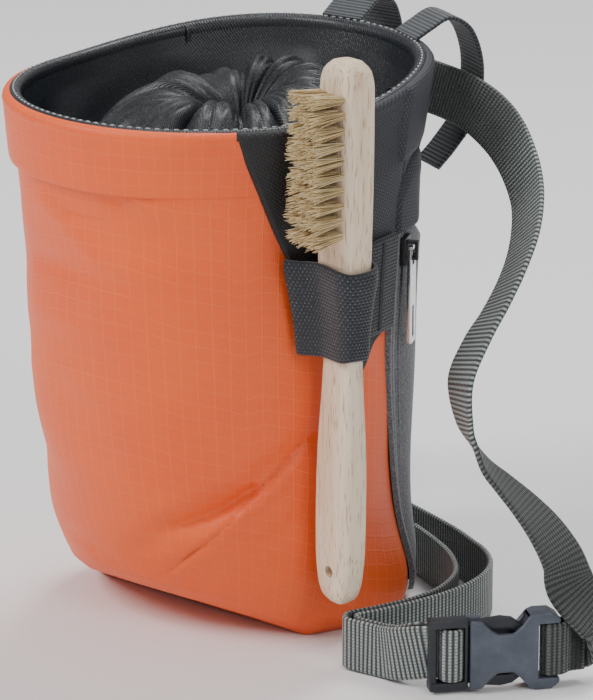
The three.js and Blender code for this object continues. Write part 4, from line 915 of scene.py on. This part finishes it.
def make_lining():
    rows, columns = 230, 760
    angles = np.linspace(0, 360, columns, endpoint=False)
    s, angle = np.meshgrid(np.linspace(0, 1, rows), angles, indexing="ij")
    turned = np.radians(angle)
    reach = read_table(LINING_AT, LINING_REACH, s)
    drop = read_table(LINING_AT, LINING_DROP, s)
    rim = bag_point(angle, 1 - drop, -WALL - PANEL_GAP - LINING_WALL + 0.3)
    length = np.hypot(rim[..., 0], rim[..., 1])
    ring = np.cos(turned), np.sin(turned)
    bend = 0.5 * round_waves(51, 1.6, angle, 2.2 * s)
    wide = turned * 11 + 7 * bend + 1.6 * s
    fine = turned * 23 + 11 * bend + 2.4 * s + 1.0
    tiny = turned * 47 + 15 * bend
    inner = smooth_step(s, 0.3, 0.75)
    wall = smooth_step(s, 0.07, 0.2) * (1 - smooth_step(s, 0.3, 0.42))
    size = 0.55 + 0.45 * round_waves(55, 2, angle, 1.5 * s)
    push = wall * 4.2 * (pleat(turned * 7 + 9 * bend) - 0.6) * size
    push = push + inner * (4.8 * (1 - 0.55 * smooth_step(s, 0.7, 1))) * (pleat(wide) - 0.5) * (0.5 + size)
    push = push + smooth_step(s, 0.42, 0.8) * 1.5 * (pleat(fine) - 0.5)
    push = push + 0.8 * np.exp(-(((s - 0.74) / 0.045) ** 2)) * (pleat(tiny) - 0.5)
    push = push + 1.1 * inner * wavy(57, 4 * ring[0] * (1 - s), 4 * ring[1] * (1 - s), 4 * s, octaves=3)
    slope_r = np.gradient(reach * RIM_RADIUS, axis=0)
    slope_z = np.gradient(-drop * BAG_HEIGHT, axis=0)
    norm = np.hypot(slope_r, slope_z)
    out_share, up_share = slope_z / norm, -slope_r / norm
    radius = length * reach + push * out_share
    centre = 1 - reach
    x = rim[..., 0] / length * radius + RIM_RADIUS * 0.085 * centre
    y = rim[..., 1] / length * radius + RIM_RADIUS * 0.06 * centre
    z = BAG_HEIGHT * (1 - drop) + back_rise(y, 1.0) + push * up_share
    points = np.stack([x, y, z], axis=-1)
    uvs = lining_uvs(s, angle)
    lining = grid_object("lining_cloth", points, uvs, closed=True)
    dress(lining, NYLON, ["gathered_lining"])


def lining_uvs(s, angle):
    around = np.concatenate([angle, np.full((angle.shape[0], 1), 360.0)], axis=1) / 360 * LINING_AROUND
    down = np.concatenate([s, s[:, :1]], axis=1) * LINING_DOWN
    return np.stack([around, down], axis=-1)


make_lining()


# The brush

# along from the hang-hole end to the head, then shares of its width and thickness
BRUSH_ALONG = [0.0, 0.012, 0.045, 0.11, 0.28, 0.42, 0.5, 0.57, 0.62, 0.95, 0.985, 1.0]
BRUSH_WIDE = [0.34, 0.66, 0.88, 1.0, 0.97, 0.82, 0.79, 0.86, 0.95, 0.95, 0.8, 0.5]
BRUSH_DEEP = [0.45, 0.75, 0.93, 1.0, 1.0, 0.8, 0.76, 0.98, 1.2, 1.26, 1.1, 0.7]
BRUSH_SIDE_OUT = 0.84 * RIM_RADIUS + PANEL_GAP + PANEL_WALL
BRUSH_TOP_OUT = 0.935 * RIM_RADIUS + PANEL_GAP + PANEL_WALL
BRUSH_CLEAR = 0.6
BRUSH_HOLE = 3.4
BRISTLES_FROM = 0.685
BRISTLES_TO = 0.955
HOLE_AT = 0.062


def brush_point(along):
    """The middle of the brush's section at shares of its length."""
    along = np.asarray(along, float)
    foot = BRUSH_SIDE_OUT + BRUSH_CLEAR + BRUSH_WIDTH / 2
    top = BRUSH_TOP_OUT + BRUSH_CLEAR + BRUSH_WIDTH / 2
    x = foot + (top - foot) * along * BRUSH_LENGTH / (BAG_HEIGHT - BRUSH_FOOT)
    y = -RIM_RADIUS * (0.073 + 0.05 * along)
    return np.stack([x, y, BRUSH_FOOT + BRUSH_LENGTH * along], axis=-1)


def smooth_by_angle(obj, degrees=35):
    with bpy.context.temp_override(object=obj, active_object=obj, selected_editable_objects=[obj]):
        bpy.ops.object.shade_smooth_by_angle(angle=math.radians(degrees))


def apply_modifiers(obj):
    depsgraph = bpy.context.evaluated_depsgraph_get()
    made = bpy.data.meshes.new_from_object(obj.evaluated_get(depsgraph), depsgraph=depsgraph)
    obj.modifiers.clear()
    old = obj.data
    obj.data = made
    bpy.data.meshes.remove(old)


def make_handle():
    ends = 0.5 - 0.5 * np.cos(np.linspace(0, math.pi / 2, 10))
    along = np.concatenate([ends * 0.12, np.linspace(0.06, 0.93, 90)[1:-1], 1 - ends[::-1] * 0.14])
    wide = read_table(BRUSH_ALONG, BRUSH_WIDE, along)
    deep = read_table(BRUSH_ALONG, BRUSH_DEEP, along)
    turn = np.linspace(0, TURN, 72, endpoint=False)
    power = 2 / 4.4
    x = np.sign(np.cos(turn)) * np.abs(np.cos(turn)) ** power * BRUSH_WIDTH / 2
    y = np.sign(np.sin(turn)) * np.abs(np.sin(turn)) ** power * BRUSH_THICK / 2
    middle = brush_point(along)
    level = np.zeros((len(along), len(turn)))
    rings = middle[:, None] + np.stack([wide[:, None] * x, deep[:, None] * y, level], axis=-1)
    foot, head = middle[:1, None], middle[-1:, None]
    cap = [foot + (rings[:1] - foot) * k - np.array([0, 0, 0.35 * (1 - k)]) for k in (0.02, 0.6)]
    lid = [head + (rings[-1:] - head) * k + np.array([0, 0, 0.6 * (1 - k)]) for k in (0.6, 0.02)]
    handle = grid_object("brush_handle_wood", np.concatenate([*cap, rings, *lid]), closed=True)
    fill_ends(handle)
    at = brush_point(HOLE_AT)
    drill = tube_object("drill", at + np.array([0, -12, 0]), at + np.array([0, 12, 0]), BRUSH_HOLE / 2, 32)
    hole = handle.modifiers.new("hole", "BOOLEAN")
    hole.object = drill
    hole.solver = "EXACT"
    apply_modifiers(handle)
    bpy.data.objects.remove(drill)
    smooth_by_angle(handle, 50)
    dress(handle, WOOD, ["brush_handle"])


def fill_ends(obj):
    """Closes the small holes at the two ends of a ring mesh."""
    work = bmesh.new()
    work.from_mesh(obj.data)
    bmesh.ops.holes_fill(work, edges=[edge for edge in work.edges if edge.is_boundary])
    bmesh.ops.recalc_face_normals(work, faces=work.faces)
    work.to_mesh(obj.data)
    work.free()


def tube_object(name, start, end, radius, sides):
    axis = (end - start) / np.linalg.norm(end - start)
    side = np.cross(axis, (0, 0, 1.0) if abs(axis[2]) < 0.9 else (1.0, 0, 0))
    side /= np.linalg.norm(side)
    other = np.cross(axis, side)
    turn = np.linspace(0, TURN, sides, endpoint=False)[:, None]
    ring = radius * (np.cos(turn) * side + np.sin(turn) * other)
    tube = grid_object(name, np.stack([start + ring, end + ring]), closed=True)
    fill_ends(tube)
    return tube


def make_bristles():
    """Rows of tufts. Each hair is a thin tapered prism that leans out of its tuft."""
    rng = np.random.default_rng(7)
    head, foot = brush_point(BRISTLES_TO), brush_point(BRISTLES_FROM)
    up = (head - foot) / np.linalg.norm(head - foot)
    out = np.array([0, -1.0, 0])
    out -= up * (out @ up)
    out /= np.linalg.norm(out)
    side = np.cross(up, out)
    reach = np.linalg.norm(head - foot)
    columns = 5
    hairs = 46
    roots, tips, tints = [], [], []
    for row in range(BRISTLE_ROWS):
        for column in range(columns):
            along = reach * (row + 0.5) / BRISTLE_ROWS
            across = (column - (columns - 1) / 2) * BRISTLE_WIDTH / (columns + 0.45)
            place = BRISTLES_FROM + (BRISTLES_TO - BRISTLES_FROM) * (row + 0.5) / BRISTLE_ROWS
            deep = read_table(BRUSH_ALONG, BRUSH_DEEP, place)
            lean = rng.normal(0, 0.035, 2)
            for _ in range(hairs):
                turn = rng.uniform(0, TURN)
                spread = math.sqrt(rng.uniform(0, 1))
                a, b = spread * math.cos(turn), spread * math.sin(turn)
                root = foot + up * (along + 0.95 * a) + side * (across + 0.85 * b)
                root = root + out * (deep * BRUSH_THICK / 2 - 0.3)
                edge_row = 0.14 if row == 0 else (-0.1 if row == BRISTLE_ROWS - 1 else 0)
                length = BRISTLE_LENGTH + rng.normal(-0.2, 0.35) - 0.5 * spread**2
                way = out + up * (0.11 * a + lean[0] - edge_row * 0.4 + rng.normal(0, 0.02))
                way = way + side * (0.1 * b + 0.025 * (column - 2) + lean[1] + rng.normal(0, 0.02))
                roots.append(root)
                tips.append(root + way * length)
                tints.append(np.clip(rng.normal(0.55, 0.2), 0, 1))
    roots, tips = np.array(roots), np.array(tips)
    count = len(roots)
    bend = rng.normal(0, 0.22, (count, 3))
    levels = np.array([0.0, 0.4, 0.75, 1.0])
    radii = np.array([0.17, 0.16, 0.13, 0.07])
    turns = np.array([0.3, 0.3 + TURN / 3, 0.3 + 2 * TURN / 3])
    ring = np.cos(turns)[:, None] * side + np.sin(turns)[:, None] * up
    middle = roots[:, None] + (tips - roots)[:, None] * levels[None, :, None]
    middle = middle + bend[:, None] * (levels**2)[None, :, None]
    points = middle[:, :, None] + ring[None, None] * radii[None, :, None, None]
    faces = []
    for level in range(3):
        for corner in range(3):
            nxt = (corner + 1) % 3
            faces.append([level * 3 + corner, level * 3 + nxt, level * 3 + 3 + nxt, level * 3 + 3 + corner])
    faces = (np.array(faces)[None] + np.arange(count)[:, None, None] * 12).reshape(-1, 4).tolist()
    faces += (np.array([[9, 10, 11]])[None] + np.arange(count)[:, None, None] * 12).reshape(-1, 3).tolist()
    bristles = as_object("bristle_tufts", points.reshape(-1, 3), faces)
    add_value(bristles, "tint", np.repeat(tints, 12))
    dress(bristles, BRISTLE, ["brush_bristles"])


make_handle()
make_bristles()


# The elastic holder

HOLDER_CLEAR = 0.45
HOLDER_SIDE_STEP = 0.6
HOLDER_TO = 26
HOLDER_BELOW_BRISTLES = 7.5
HOLDER_TOP = float(brush_point(BRISTLES_FROM)[2]) - HOLDER_BELOW_BRISTLES
HOLDER_ROWS = 34


def curve_at(points, shares):
    """A centripetal curve through the points, at shares from 0 to 1 that count its stations evenly."""
    points = np.asarray(points, float)
    last = len(points) - 1
    place = np.clip(np.asarray(shares, float), 0, 1) * last
    i = np.minimum(np.floor(place).astype(int), last - 1)
    w = (place - i)[:, None]
    p1, p2 = points[i], points[i + 1]
    p0 = np.where((i == 0)[:, None], 2 * points[0] - points[1], points[np.maximum(i - 1, 0)])
    beyond = 2 * points[last] - points[last - 1]
    p3 = np.where((i == last - 1)[:, None], beyond, points[np.minimum(i + 2, last)])
    pairs = ((p0, p1), (p1, p2), (p2, p3))
    d0, d1, d2 = (np.sqrt(np.linalg.norm(b - a, axis=1, keepdims=True)) for a, b in pairs)
    d1 = np.where(d1 < 1e-4, 1.0, d1)
    d0 = np.where(d0 < 1e-4, d1, d0)
    d2 = np.where(d2 < 1e-4, d1, d2)
    t1 = ((p1 - p0) / d0 - (p2 - p0) / (d0 + d1) + (p2 - p1) / d1) * d1
    t2 = ((p2 - p1) / d1 - (p3 - p1) / (d1 + d2) + (p3 - p2) / d2) * d1
    return p1 + w * t1 + w**2 * (3 * (p2 - p1) - 2 * t1 - t2) + w**3 * (2 * (p1 - p2) + t1 + t2)


def holder_plan(height, up):
    """The holder's way at one height: along the bag, out round the handle, and back along the bag."""
    along = (height * BAG_HEIGHT - BRUSH_FOOT) / BRUSH_LENGTH
    middle = brush_point(along)
    to_holder = HOLDER_CLEAR + HOLDER_WALL / 2
    half_width = float(read_table(BRUSH_ALONG, BRUSH_WIDE, along)) * BRUSH_WIDTH / 2 + to_holder
    half_thick = float(read_table(BRUSH_ALONG, BRUSH_DEEP, along)) * BRUSH_THICK / 2 + to_holder
    on_bag = PANEL_GAP + PANEL_WALL + PANEL_GAP + HOLDER_WALL / 2
    radius = bag_point(0, height)[0]
    front = math.degrees(math.asin((middle[1] - half_thick - HOLDER_SIDE_STEP * up) / radius))
    back = math.degrees(math.asin((middle[1] + half_thick + 4 * HOLDER_SIDE_STEP) / radius))
    start = front - 0.4 - 0.9 * up
    x, y = middle[0], middle[1]
    plan = [
        bag_point(start, height, on_bag),
        bag_point(front, height, on_bag + HOLDER_WALL),
        (x - half_width * 0.55, y - half_thick, 0),
        (x + half_width * 0.7, y - half_thick, 0),
        (x + half_width, y - half_thick * 0.6, 0),
        (x + half_width, y + half_thick * 0.6, 0),
        (x + half_width * 0.7, y + half_thick, 0),
        (x - half_width * 0.55, y + half_thick, 0),
        bag_point(back, height, on_bag + HOLDER_WALL),
        bag_point((back + HOLDER_TO) / 2, height, on_bag),
        bag_point(HOLDER_TO, height, on_bag),
    ]
    plan = np.array(plan, float)
    plan[:, 2] = height * BAG_HEIGHT
    return plan


def make_holder():
    shares = np.linspace(0, 1, 220)
    outer, inner = [], []
    for up in np.linspace(0, 1, HOLDER_ROWS):
        height = (HOLDER_TOP - (1 - up) * HOLDER_HEIGHT) / BAG_HEIGHT
        line = curve_at(holder_plan(height, up), shares)
        along = np.gradient(line, axis=0)
        along[:, 2] = 0
        along /= np.linalg.norm(along, axis=1, keepdims=True)
        normal = np.stack([along[:, 1], -along[:, 0], np.zeros(len(along))], axis=1)
        dip = 0.5 * wavy(61, 9 * shares, 2 * up) * np.sin(math.pi * shares)
        line[:, 2] += dip + 0.9 * (up - 0.5) * np.exp(-(((shares - 0.42) / 0.2) ** 2)) * -1.0
        edge = math.sqrt(max(0.0, 1 - (2 * up - 1) ** 8))
        outer.append(line + normal * HOLDER_WALL / 2 * (0.35 + 0.65 * edge))
        inner.append(line - normal * HOLDER_WALL / 2)
    rows = [inner[0], *outer, *inner[::-1]]
    points = np.stack(rows)
    uvs = arc_uvs(points)
    levels = np.linspace(0, HOLDER_HEIGHT, HOLDER_ROWS)
    v = np.concatenate([[0], levels, levels[::-1]])
    shape = uvs.shape[:2]
    uvs = np.stack([np.broadcast_to(v[:, None], shape), np.broadcast_to(uvs[10, :, 0], shape)], axis=-1)
    holder = grid_object("elastic_holder", points, uvs)
    dress(holder, ELASTIC, ["brush_holder"])


make_holder()


# Straps


def strap_object(name, stations, width, wall, steps, tone_and_painted_shade):
    """Sweeps webbing with round edges along stations, each a middle and the direction of its width.

    A given function of share and face gives its tone along it, which on the belt is painted shade, with 1 and
    -1 for its two faces.
    """
    shares = np.linspace(0, 1, steps)
    route = np.array([middle for middle, _ in stations], float)
    widths = np.array([across for _, across in stations], float)
    middle = curve_at(route, shares)
    along = curve_at(route, np.minimum(shares + 1e-4, 1)) - curve_at(route, np.maximum(shares - 1e-4, 0))
    along /= np.linalg.norm(along, axis=1, keepdims=True)
    across = curve_at(widths, shares)
    across -= along * np.sum(across * along, axis=1, keepdims=True)
    across /= np.linalg.norm(across, axis=1, keepdims=True)
    normal = np.cross(along, across)
    flat = np.linspace(-1, 1, 11) * (width / 2 - wall * 0.45)
    round_edge = [(width / 2 - wall * 0.2, 0.8), (width / 2, 0.0), (width / 2 - wall * 0.2, -0.8)]
    section = [(a, 1.0) for a in flat] + round_edge + [(a, -1.0) for a in flat[::-1]]
    section += [(-a, -n) for a, n in round_edge]
    section = np.array(section)
    offset = across[:, None] * section[None, :, :1] + normal[:, None] * section[None, :, 1:] * (wall / 2)
    rings = middle[:, None] + offset
    start = middle[:1, None] + across[:1, None] * section[None, :, :1] * 0.995
    end = middle[-1:, None] + across[-1:, None] * section[None, :, :1] * 0.995
    points = np.concatenate([start, rings, end])
    length = np.concatenate([[0], np.cumsum(np.linalg.norm(np.diff(middle, axis=0), axis=1))])
    v = np.concatenate([[length[0] - wall / 2], length, [length[-1] + wall / 2]])
    u = np.concatenate([section[:, 0], section[:1, 0]]) + width / 2
    uvs = np.stack(np.broadcast_arrays(u[None, :], v[:, None]), axis=-1)
    strap = grid_object(name, points, uvs, closed=True)
    faces = np.sign(section[:, 1])
    place = np.concatenate([[shares[0]], shares, [shares[-1]]])
    # Stores the tone for each point, which on the belt is painted shade.
    add_value(strap, "tone_and_painted_shade", tone_and_painted_shade(place[:, None], faces[None, :]) + np.zeros((len(place), len(faces))))
    return strap


# The belt loops: out is a share of LOOP_STANDOFF from the collar, height a share of LOOP_DROP
LOOP_OUT = [-0.22, 0.05, 0.4, 0.75, 0.96, 1.0, 0.86, 0.5, 0.2]
LOOP_UP = [0.0, 0.07, 0.14, 0.06, -0.14, -0.38, -0.64, -0.86, -1.0]


def make_loops():
    for name, angle in (("belt_loop_right", 75), ("belt_loop_left", 105)):
        collar = bag_point(angle, 1.0, PANEL_GAP + COLLAR_WALL)
        outward = np.array([collar[0], collar[1], 0]) / math.hypot(collar[0], collar[1])
        across = np.array([-outward[1], outward[0], 0])
        base = collar[2] + SEAM_GAP + LOOP_WALL / 2
        stations = []
        for out, up in zip(LOOP_OUT, LOOP_UP):
            middle = collar + outward * out * LOOP_STANDOFF
            middle[2] = base + up * LOOP_DROP
            stations.append((middle, across))
        tape = strap_object(f"{name}_tape", stations, LOOP_WIDTH, LOOP_WALL, 160, lambda share, face: 0.75)
        dress(tape, LOOP_TAPE, [name])


# The belt's route, as shares of RIM_RADIUS out and back. up is a share of BAG_HEIGHT, lift a share of
# the way up to the buckle's middle, and tip the direction of the belt's upper edge.
TAIL_FLOOR = [
    (0.32, 0.955), (0.545, 0.895), (0.705, 0.84), (0.847, 0.764), (0.947, 0.686), (1.025, 0.585),
    (1.09, 0.44), (1.112, 0.27), (1.096, 0.05), (1.08, -0.085), (1.13, -0.13), (1.22, -0.11),
    (1.33, -0.075), (1.42, -0.068, 0.3),
]
LOADED_FLOOR = [
    (1.418, -0.026, 0.3), (1.335, -0.034), (1.235, -0.069), (1.155, -0.084), (1.122, -0.06), (1.137, 0.05),
    (1.154, 0.27), (1.15, 0.45), (1.12, 0.62), (1.05, 0.78), (0.95, 0.9), (0.81, 0.985),
    (0.66, 1.03), (0.48, 1.075), (0.18, 1.12), (-0.14, 1.16), (-0.47, 1.25), (-0.81, 1.46),
    (-1.12, 1.73), (-1.42, 1.9), (-1.76, 1.9), (-1.97, 1.7), (-1.98, 1.39), (-1.8, 1.15),
]
BACK_RISE_ROUTE = [
    (-1.55, 1.03, 0.07, (-0.1, 0.1, 1)),
    (-1.32, 1.0, 0.17, (-0.5, 0.3, 0.8)),
    (-1.13, 1.01, 0.35, (-0.85, 0.2, 0.45)),
    (-0.97, 1.05, 0.56, (-0.8, 0.3, 0.5)),
    (-0.78, 1.04, 0.75, (-0.5, 0.35, 0.8)),
    (-0.57, 1.08, 0.865, (-0.15, 0.35, 0.93)),
    (-0.3, 1.155, 0.925, (0, 0.33, 0.94)),
    (0, 1.17, 0.94, (0, 0.33, 0.94)),
    (0.3, 1.155, 0.94, (0, 0.33, 0.94)),
    (0.46, 1.15, 0.933, (0.04, 0.4, 0.92)),
]
FRONT_BEND_ROUTE = [
    (0.61, 1.14, 0.918, (0.07, 0.47, 0.88)),
    (0.77, 1.112, 0.894, (0.25, 0.4, 0.88)),
    (0.92, 1.066, 0.86, (0.5, 0.25, 0.83)),
    (1.05, 1.007, 0.82, (0.66, 0.13, 0.74)),
    (1.153, 0.924, 0.785, (0.73, 0.09, 0.68)),
    (1.24, 0.824, 0.748, (0.78, 0.04, 0.62)),
    (1.308, 0.702, 0.705, (0.84, -0.05, 0.54)),
    (1.35, 0.564, 0.653, (0.9, -0.15, 0.41)),
    (1.368, 0.444, 0.607, (0.94, -0.2, 0.28)),
    (1.392, 0.325, 0.539, (0.95, -0.27, 0.18)),
    (1.435, 0.317, 0.463, (0.9, -0.42, 0.13)),
    (1.475, 0.336, 0.428, (0.82, -0.54, 0.13)),
    (1.53, 0.371, 0.388, (0.7, -0.7, 0.1)),
    (1.593, 0.419, 0.359, (0.6, -0.8, 0.04)),
    (1.683, 0.48, 0.32, (0.44, -0.9, -0.02)),
    (1.766, 0.534, 0.277, (0.28, -0.95, -0.1)),
    (1.835, 0.575, 0.228, (0.08, -0.97, -0.12)),
    (1.872, 0.595, 0.18, (-0.2, -0.97, -0.08)),
]

# The buckle's place and the sizes that the belt passes
BUCKLE_AT = np.array([1.737 * RIM_RADIUS, 0.246 * RIM_RADIUS, BUCKLE_HEIGHT / 2])
BUCKLE_TURN = math.radians(63)
BUCKLE_ALONG = np.array([math.cos(BUCKLE_TURN), math.sin(BUCKLE_TURN), 0])
BUCKLE_OUT = np.array([BUCKLE_ALONG[1], -BUCKLE_ALONG[0], 0])
UP = np.array([0.0, 0.0, 1.0])
BUCKLE_HALF = BUCKLE_LENGTH / 2
LOCK_BAR = 2.1
SLOT_WIDTH = 2 * BELT_WALL
OUTER_SLOT_FROM = -BUCKLE_HALF + LOCK_BAR
OUTER_SLOT_TO = OUTER_SLOT_FROM + SLOT_WIDTH
INNER_SLOT_FROM = OUTER_SLOT_TO + LOCK_BAR
END_BAR_FROM = BUCKLE_HALF - BUCKLE_BAR - 0.2
ON_BAR = BUCKLE_BAR / 2 + SEAM_GAP + BELT_WALL / 2
BESIDE_BAR = SEAM_GAP + BELT_WALL / 2
NEXT_LAYER = BELT_WALL + SEAM_GAP
LOCK_BAR_MIDDLE = OUTER_SLOT_TO + LOCK_BAR / 2
CORNER_LENGTH = BELT_WIDTH * 0.6
CORNER_STANDOFF = 6.2
CORNER_BEHIND = 0.9
SEWN_OVERLAP = 7.5


def buckle_spot(along, out, up=0.0):
    return BUCKLE_AT + BUCKLE_ALONG * along + BUCKLE_OUT * out + UP * up


def floor_station(out, back, lift=0.0):
    low = BELT_WIDTH / 2 + FLOOR_CLEAR
    return np.array([out * RIM_RADIUS, back * RIM_RADIUS, low + (BUCKLE_HEIGHT / 2 - low) * lift]), UP


def raised_station(out, back, up, tip):
    return np.array([out * RIM_RADIUS, back * RIM_RADIUS, up * BAG_HEIGHT]), np.array(tip, float)


def corner_stations():
    """Beside the buckle the belt turns from hanging flat to lying on its edge behind the end bar."""
    across = buckle_spot(-0.8, 0.6) - BUCKLE_AT
    start = Matrix((-UP, across, np.cross(-UP, across))).transposed().to_quaternion()
    end = Matrix((-BUCKLE_ALONG, -UP, np.cross(-BUCKLE_ALONG, -UP))).transposed().to_quaternion()
    middle = buckle_spot(BUCKLE_HALF + CORNER_STANDOFF, -ON_BAR - CORNER_BEHIND)
    stations = []
    for step in range(30, -1, -1):
        turn = start.slerp(end, step / 30)
        if step % 6 == 0:
            stations.insert(0, (middle.copy(), np.array(turn @ Vector((0, 1, 0)))))
        middle = middle - np.array(turn @ Vector((1, 0, 0))) * CORNER_LENGTH / 30
    return stations


def lock_stations():
    """Through the ladder lock: the tail's way in, and the way round the middle bar and out again."""
    beside = OUTER_SLOT_TO - BESIDE_BAR
    inner = INNER_SLOT_FROM + BESIDE_BAR
    tail = [
        (-BUCKLE_HALF + 0.6, -ON_BAR),
        (OUTER_SLOT_FROM + 0.5, -ON_BAR),
        (beside - 0.8, -1.2),
        (beside - 0.4, 0),
    ]
    loaded = [
        (beside - 0.2, 0.8),
        (beside + 0.2, 1.7),
        (LOCK_BAR_MIDDLE - 0.6, ON_BAR),
        (LOCK_BAR_MIDDLE + 0.8, ON_BAR),
        (inner, 1.4),
        (inner + 0.1, 0),
        (inner, -1.4),
        (LOCK_BAR_MIDDLE + 0.6, -ON_BAR - 0.1),
        (OUTER_SLOT_TO - 0.7, -ON_BAR - 0.5 * NEXT_LAYER),
        (OUTER_SLOT_FROM + 0.5, -ON_BAR - NEXT_LAYER - 0.5),
        (-BUCKLE_HALF, -ON_BAR - NEXT_LAYER - 1.3),
    ]
    return [(buckle_spot(*place), UP) for place in tail + loaded]


def sewn_stations():
    """Round the buckle's end bar to the sewn end."""
    places = [
        (END_BAR_FROM + 1.2, -ON_BAR),
        (END_BAR_FROM - 0.2, -ON_BAR),
        (END_BAR_FROM - BESIDE_BAR, -1.4),
        (END_BAR_FROM - BESIDE_BAR - 0.2, 0),
        (END_BAR_FROM - BESIDE_BAR, 1.4),
        (END_BAR_FROM - 0.2, ON_BAR),
        (END_BAR_FROM + 1.2, ON_BAR),
        (BUCKLE_HALF + 0.6, ON_BAR - 0.3),
        (BUCKLE_HALF + 3.2, ON_BAR - 2.2),
        (BUCKLE_HALF + SEWN_OVERLAP, ON_BAR - 2.9),
    ]
    return [(buckle_spot(*place), -UP) for place in places]


def make_belt():
    """One length of webbing. Its outer face is light, its inner face is darkened with painted shade, and
    painted shade darkens it near the loops and below its twist.
    """
    tail = [floor_station(*row) for row in TAIL_FLOOR]
    lock = lock_stations()
    floor = [floor_station(*row) for row in LOADED_FLOOR]
    back = [raised_station(*row) for row in BACK_RISE_ROUTE]
    front = [raised_station(*row) for row in FRONT_BEND_ROUTE]
    stations = tail + lock + floor + back + front + corner_stations() + sewn_stations()
    last = len(stations) - 1

    def tone_and_painted_shade(share, face):
        place = share * last
        # Painted shade: the belt is darkened near the loops and below its twist, where it lies in shade.
        painted_shade_near_loops = smooth_step(place, 50, 54) * (1 - smooth_step(place, 63.5, 65.5))
        painted_shade_below_twist = smooth_step(place, 73, 75) * (1 - smooth_step(place, 86.5, 88))
        # Painted shade: the inner face, which mostly faces the bag, is darkened to 0.12.
        painted_face_shade = np.where(face >= 0, 1.0, 0.12)
        return painted_face_shade * (1 - 0.86 * np.maximum(painted_shade_near_loops, painted_shade_below_twist))

    belt = strap_object("waist_belt", stations, BELT_WIDTH, BELT_WALL, 2600, tone_and_painted_shade)
    dress(belt, WEBBING, ["belt_tail", "belt_floor", "belt_back", "belt_front"])


make_loops()
make_belt()


# The buckle and the zip's metal


def bevelled_copy(name, node, width):
    """A copy of a hard solid with its flat faces joined and its edges rounded."""
    source = bpy.data.objects[node]
    piece = bpy.data.objects.new(name, source.data.copy())
    piece.data.materials.clear()
    bpy.context.scene.collection.objects.link(piece)
    work = bmesh.new()
    work.from_mesh(piece.data)
    bmesh.ops.remove_doubles(work, verts=work.verts, dist=0.02 * MM)
    bmesh.ops.dissolve_limit(work, angle_limit=math.radians(2), verts=work.verts, edges=work.edges)
    work.to_mesh(piece.data)
    work.free()
    bevel = piece.modifiers.new("round", "BEVEL")
    bevel.width = width * MM
    bevel.segments = 3
    bevel.limit_method = "ANGLE"
    bevel.angle_limit = math.radians(28)
    bevel.use_clamp_overlap = True
    apply_modifiers(piece)
    smooth_by_angle(piece, 32)
    return piece


def make_hardware():
    for name, node, bevel, material, slot, body in (
        ("buckle_socket", "buckle_female", 0.6, PLASTIC, "slate_plastic", "bag"),
        ("buckle_plug", "buckle_male", 0.5, DARK_PLASTIC, "slate_plastic", "bag"),
        ("slider_body", "zip_slider", 0.25, BLACK_METAL, "black_metal", "bag"),
        ("pull_tab", "zip_pull", 0.22, SILVER, "silver", "pull"),
    ):
        dress(bevelled_copy(name, node, bevel), material, [node], body)


make_hardware()


def make_bar_tacks():
    """Rows of dark stitches across the holder's sewn end and the belt's sewn end."""
    lean = 0.12
    blocks = []
    for up in np.linspace(0.05, 0.95, 44):
        height = (HOLDER_TOP - (1 - up) * HOLDER_HEIGHT) / BAG_HEIGHT
        at = curve_at(holder_plan(height, up), [0.93])[0]
        turn = math.atan2(at[1], at[0])
        at = at + (HOLDER_WALL / 2 + 0.12) * np.array([math.cos(turn), math.sin(turn), 0])
        blocks.append((at, (0.16, 0.95, 0.17), turn, lean))
    for along in (4.0, 5.9):
        face = ON_BAR - 2.2 - (along - 3.2) * 0.7 / 4.3 + BELT_WALL / 2 + 0.08
        for up in np.linspace(-6.4, 6.4, 24):
            at = buckle_spot(BUCKLE_HALF + along, face, up)
            blocks.append((at, (0.16, 0.8, 0.17), BUCKLE_TURN - math.pi / 2, lean))
    block_object("bar_tacks", blocks, DARK_THREAD)


make_bar_tacks()


# Floor and light


def make_stage():
    half = 4000.0
    corners = [[(-half, -half, 0), (half, -half, 0)], [(-half, half, 0), (half, half, 0)]]
    floor = grid_object("floor", np.array(corners))
    look = Look("pale_floor", (0.88, 0.88, 0.88), 0.7)
    floor.data.materials.append(look.material)
    world = bpy.data.worlds.new("studio")
    world.use_nodes = True
    sky = world.node_tree.nodes["Background"]
    sky.inputs[0].default_value = (1, 1, 1, 1)
    sky.inputs[1].default_value = 0.37
    bpy.context.scene.world = world
    for name, place, aim, size, watts in (
        ("key", (-0.35, -1.15, 1.15), (0, 0, 0.08), 0.7, 18),
        ("right", (1.3, -0.2, 0.9), (0.02, 0, 0.08), 0.6, 7),
        ("top", (-0.25, 0.55, 1.35), (0, 0, 0.12), 0.6, 14),
    ):
        data = bpy.data.lights.new(name, "AREA")
        data.shape = "SQUARE"
        data.size = size
        data.energy = watts
        lamp = bpy.data.objects.new(name, data)
        lamp.location = place
        lamp.rotation_euler = (Vector(aim) - Vector(place)).to_track_quat("-Z", "Y").to_euler()
        bpy.context.scene.collection.objects.link(lamp)


make_stage()
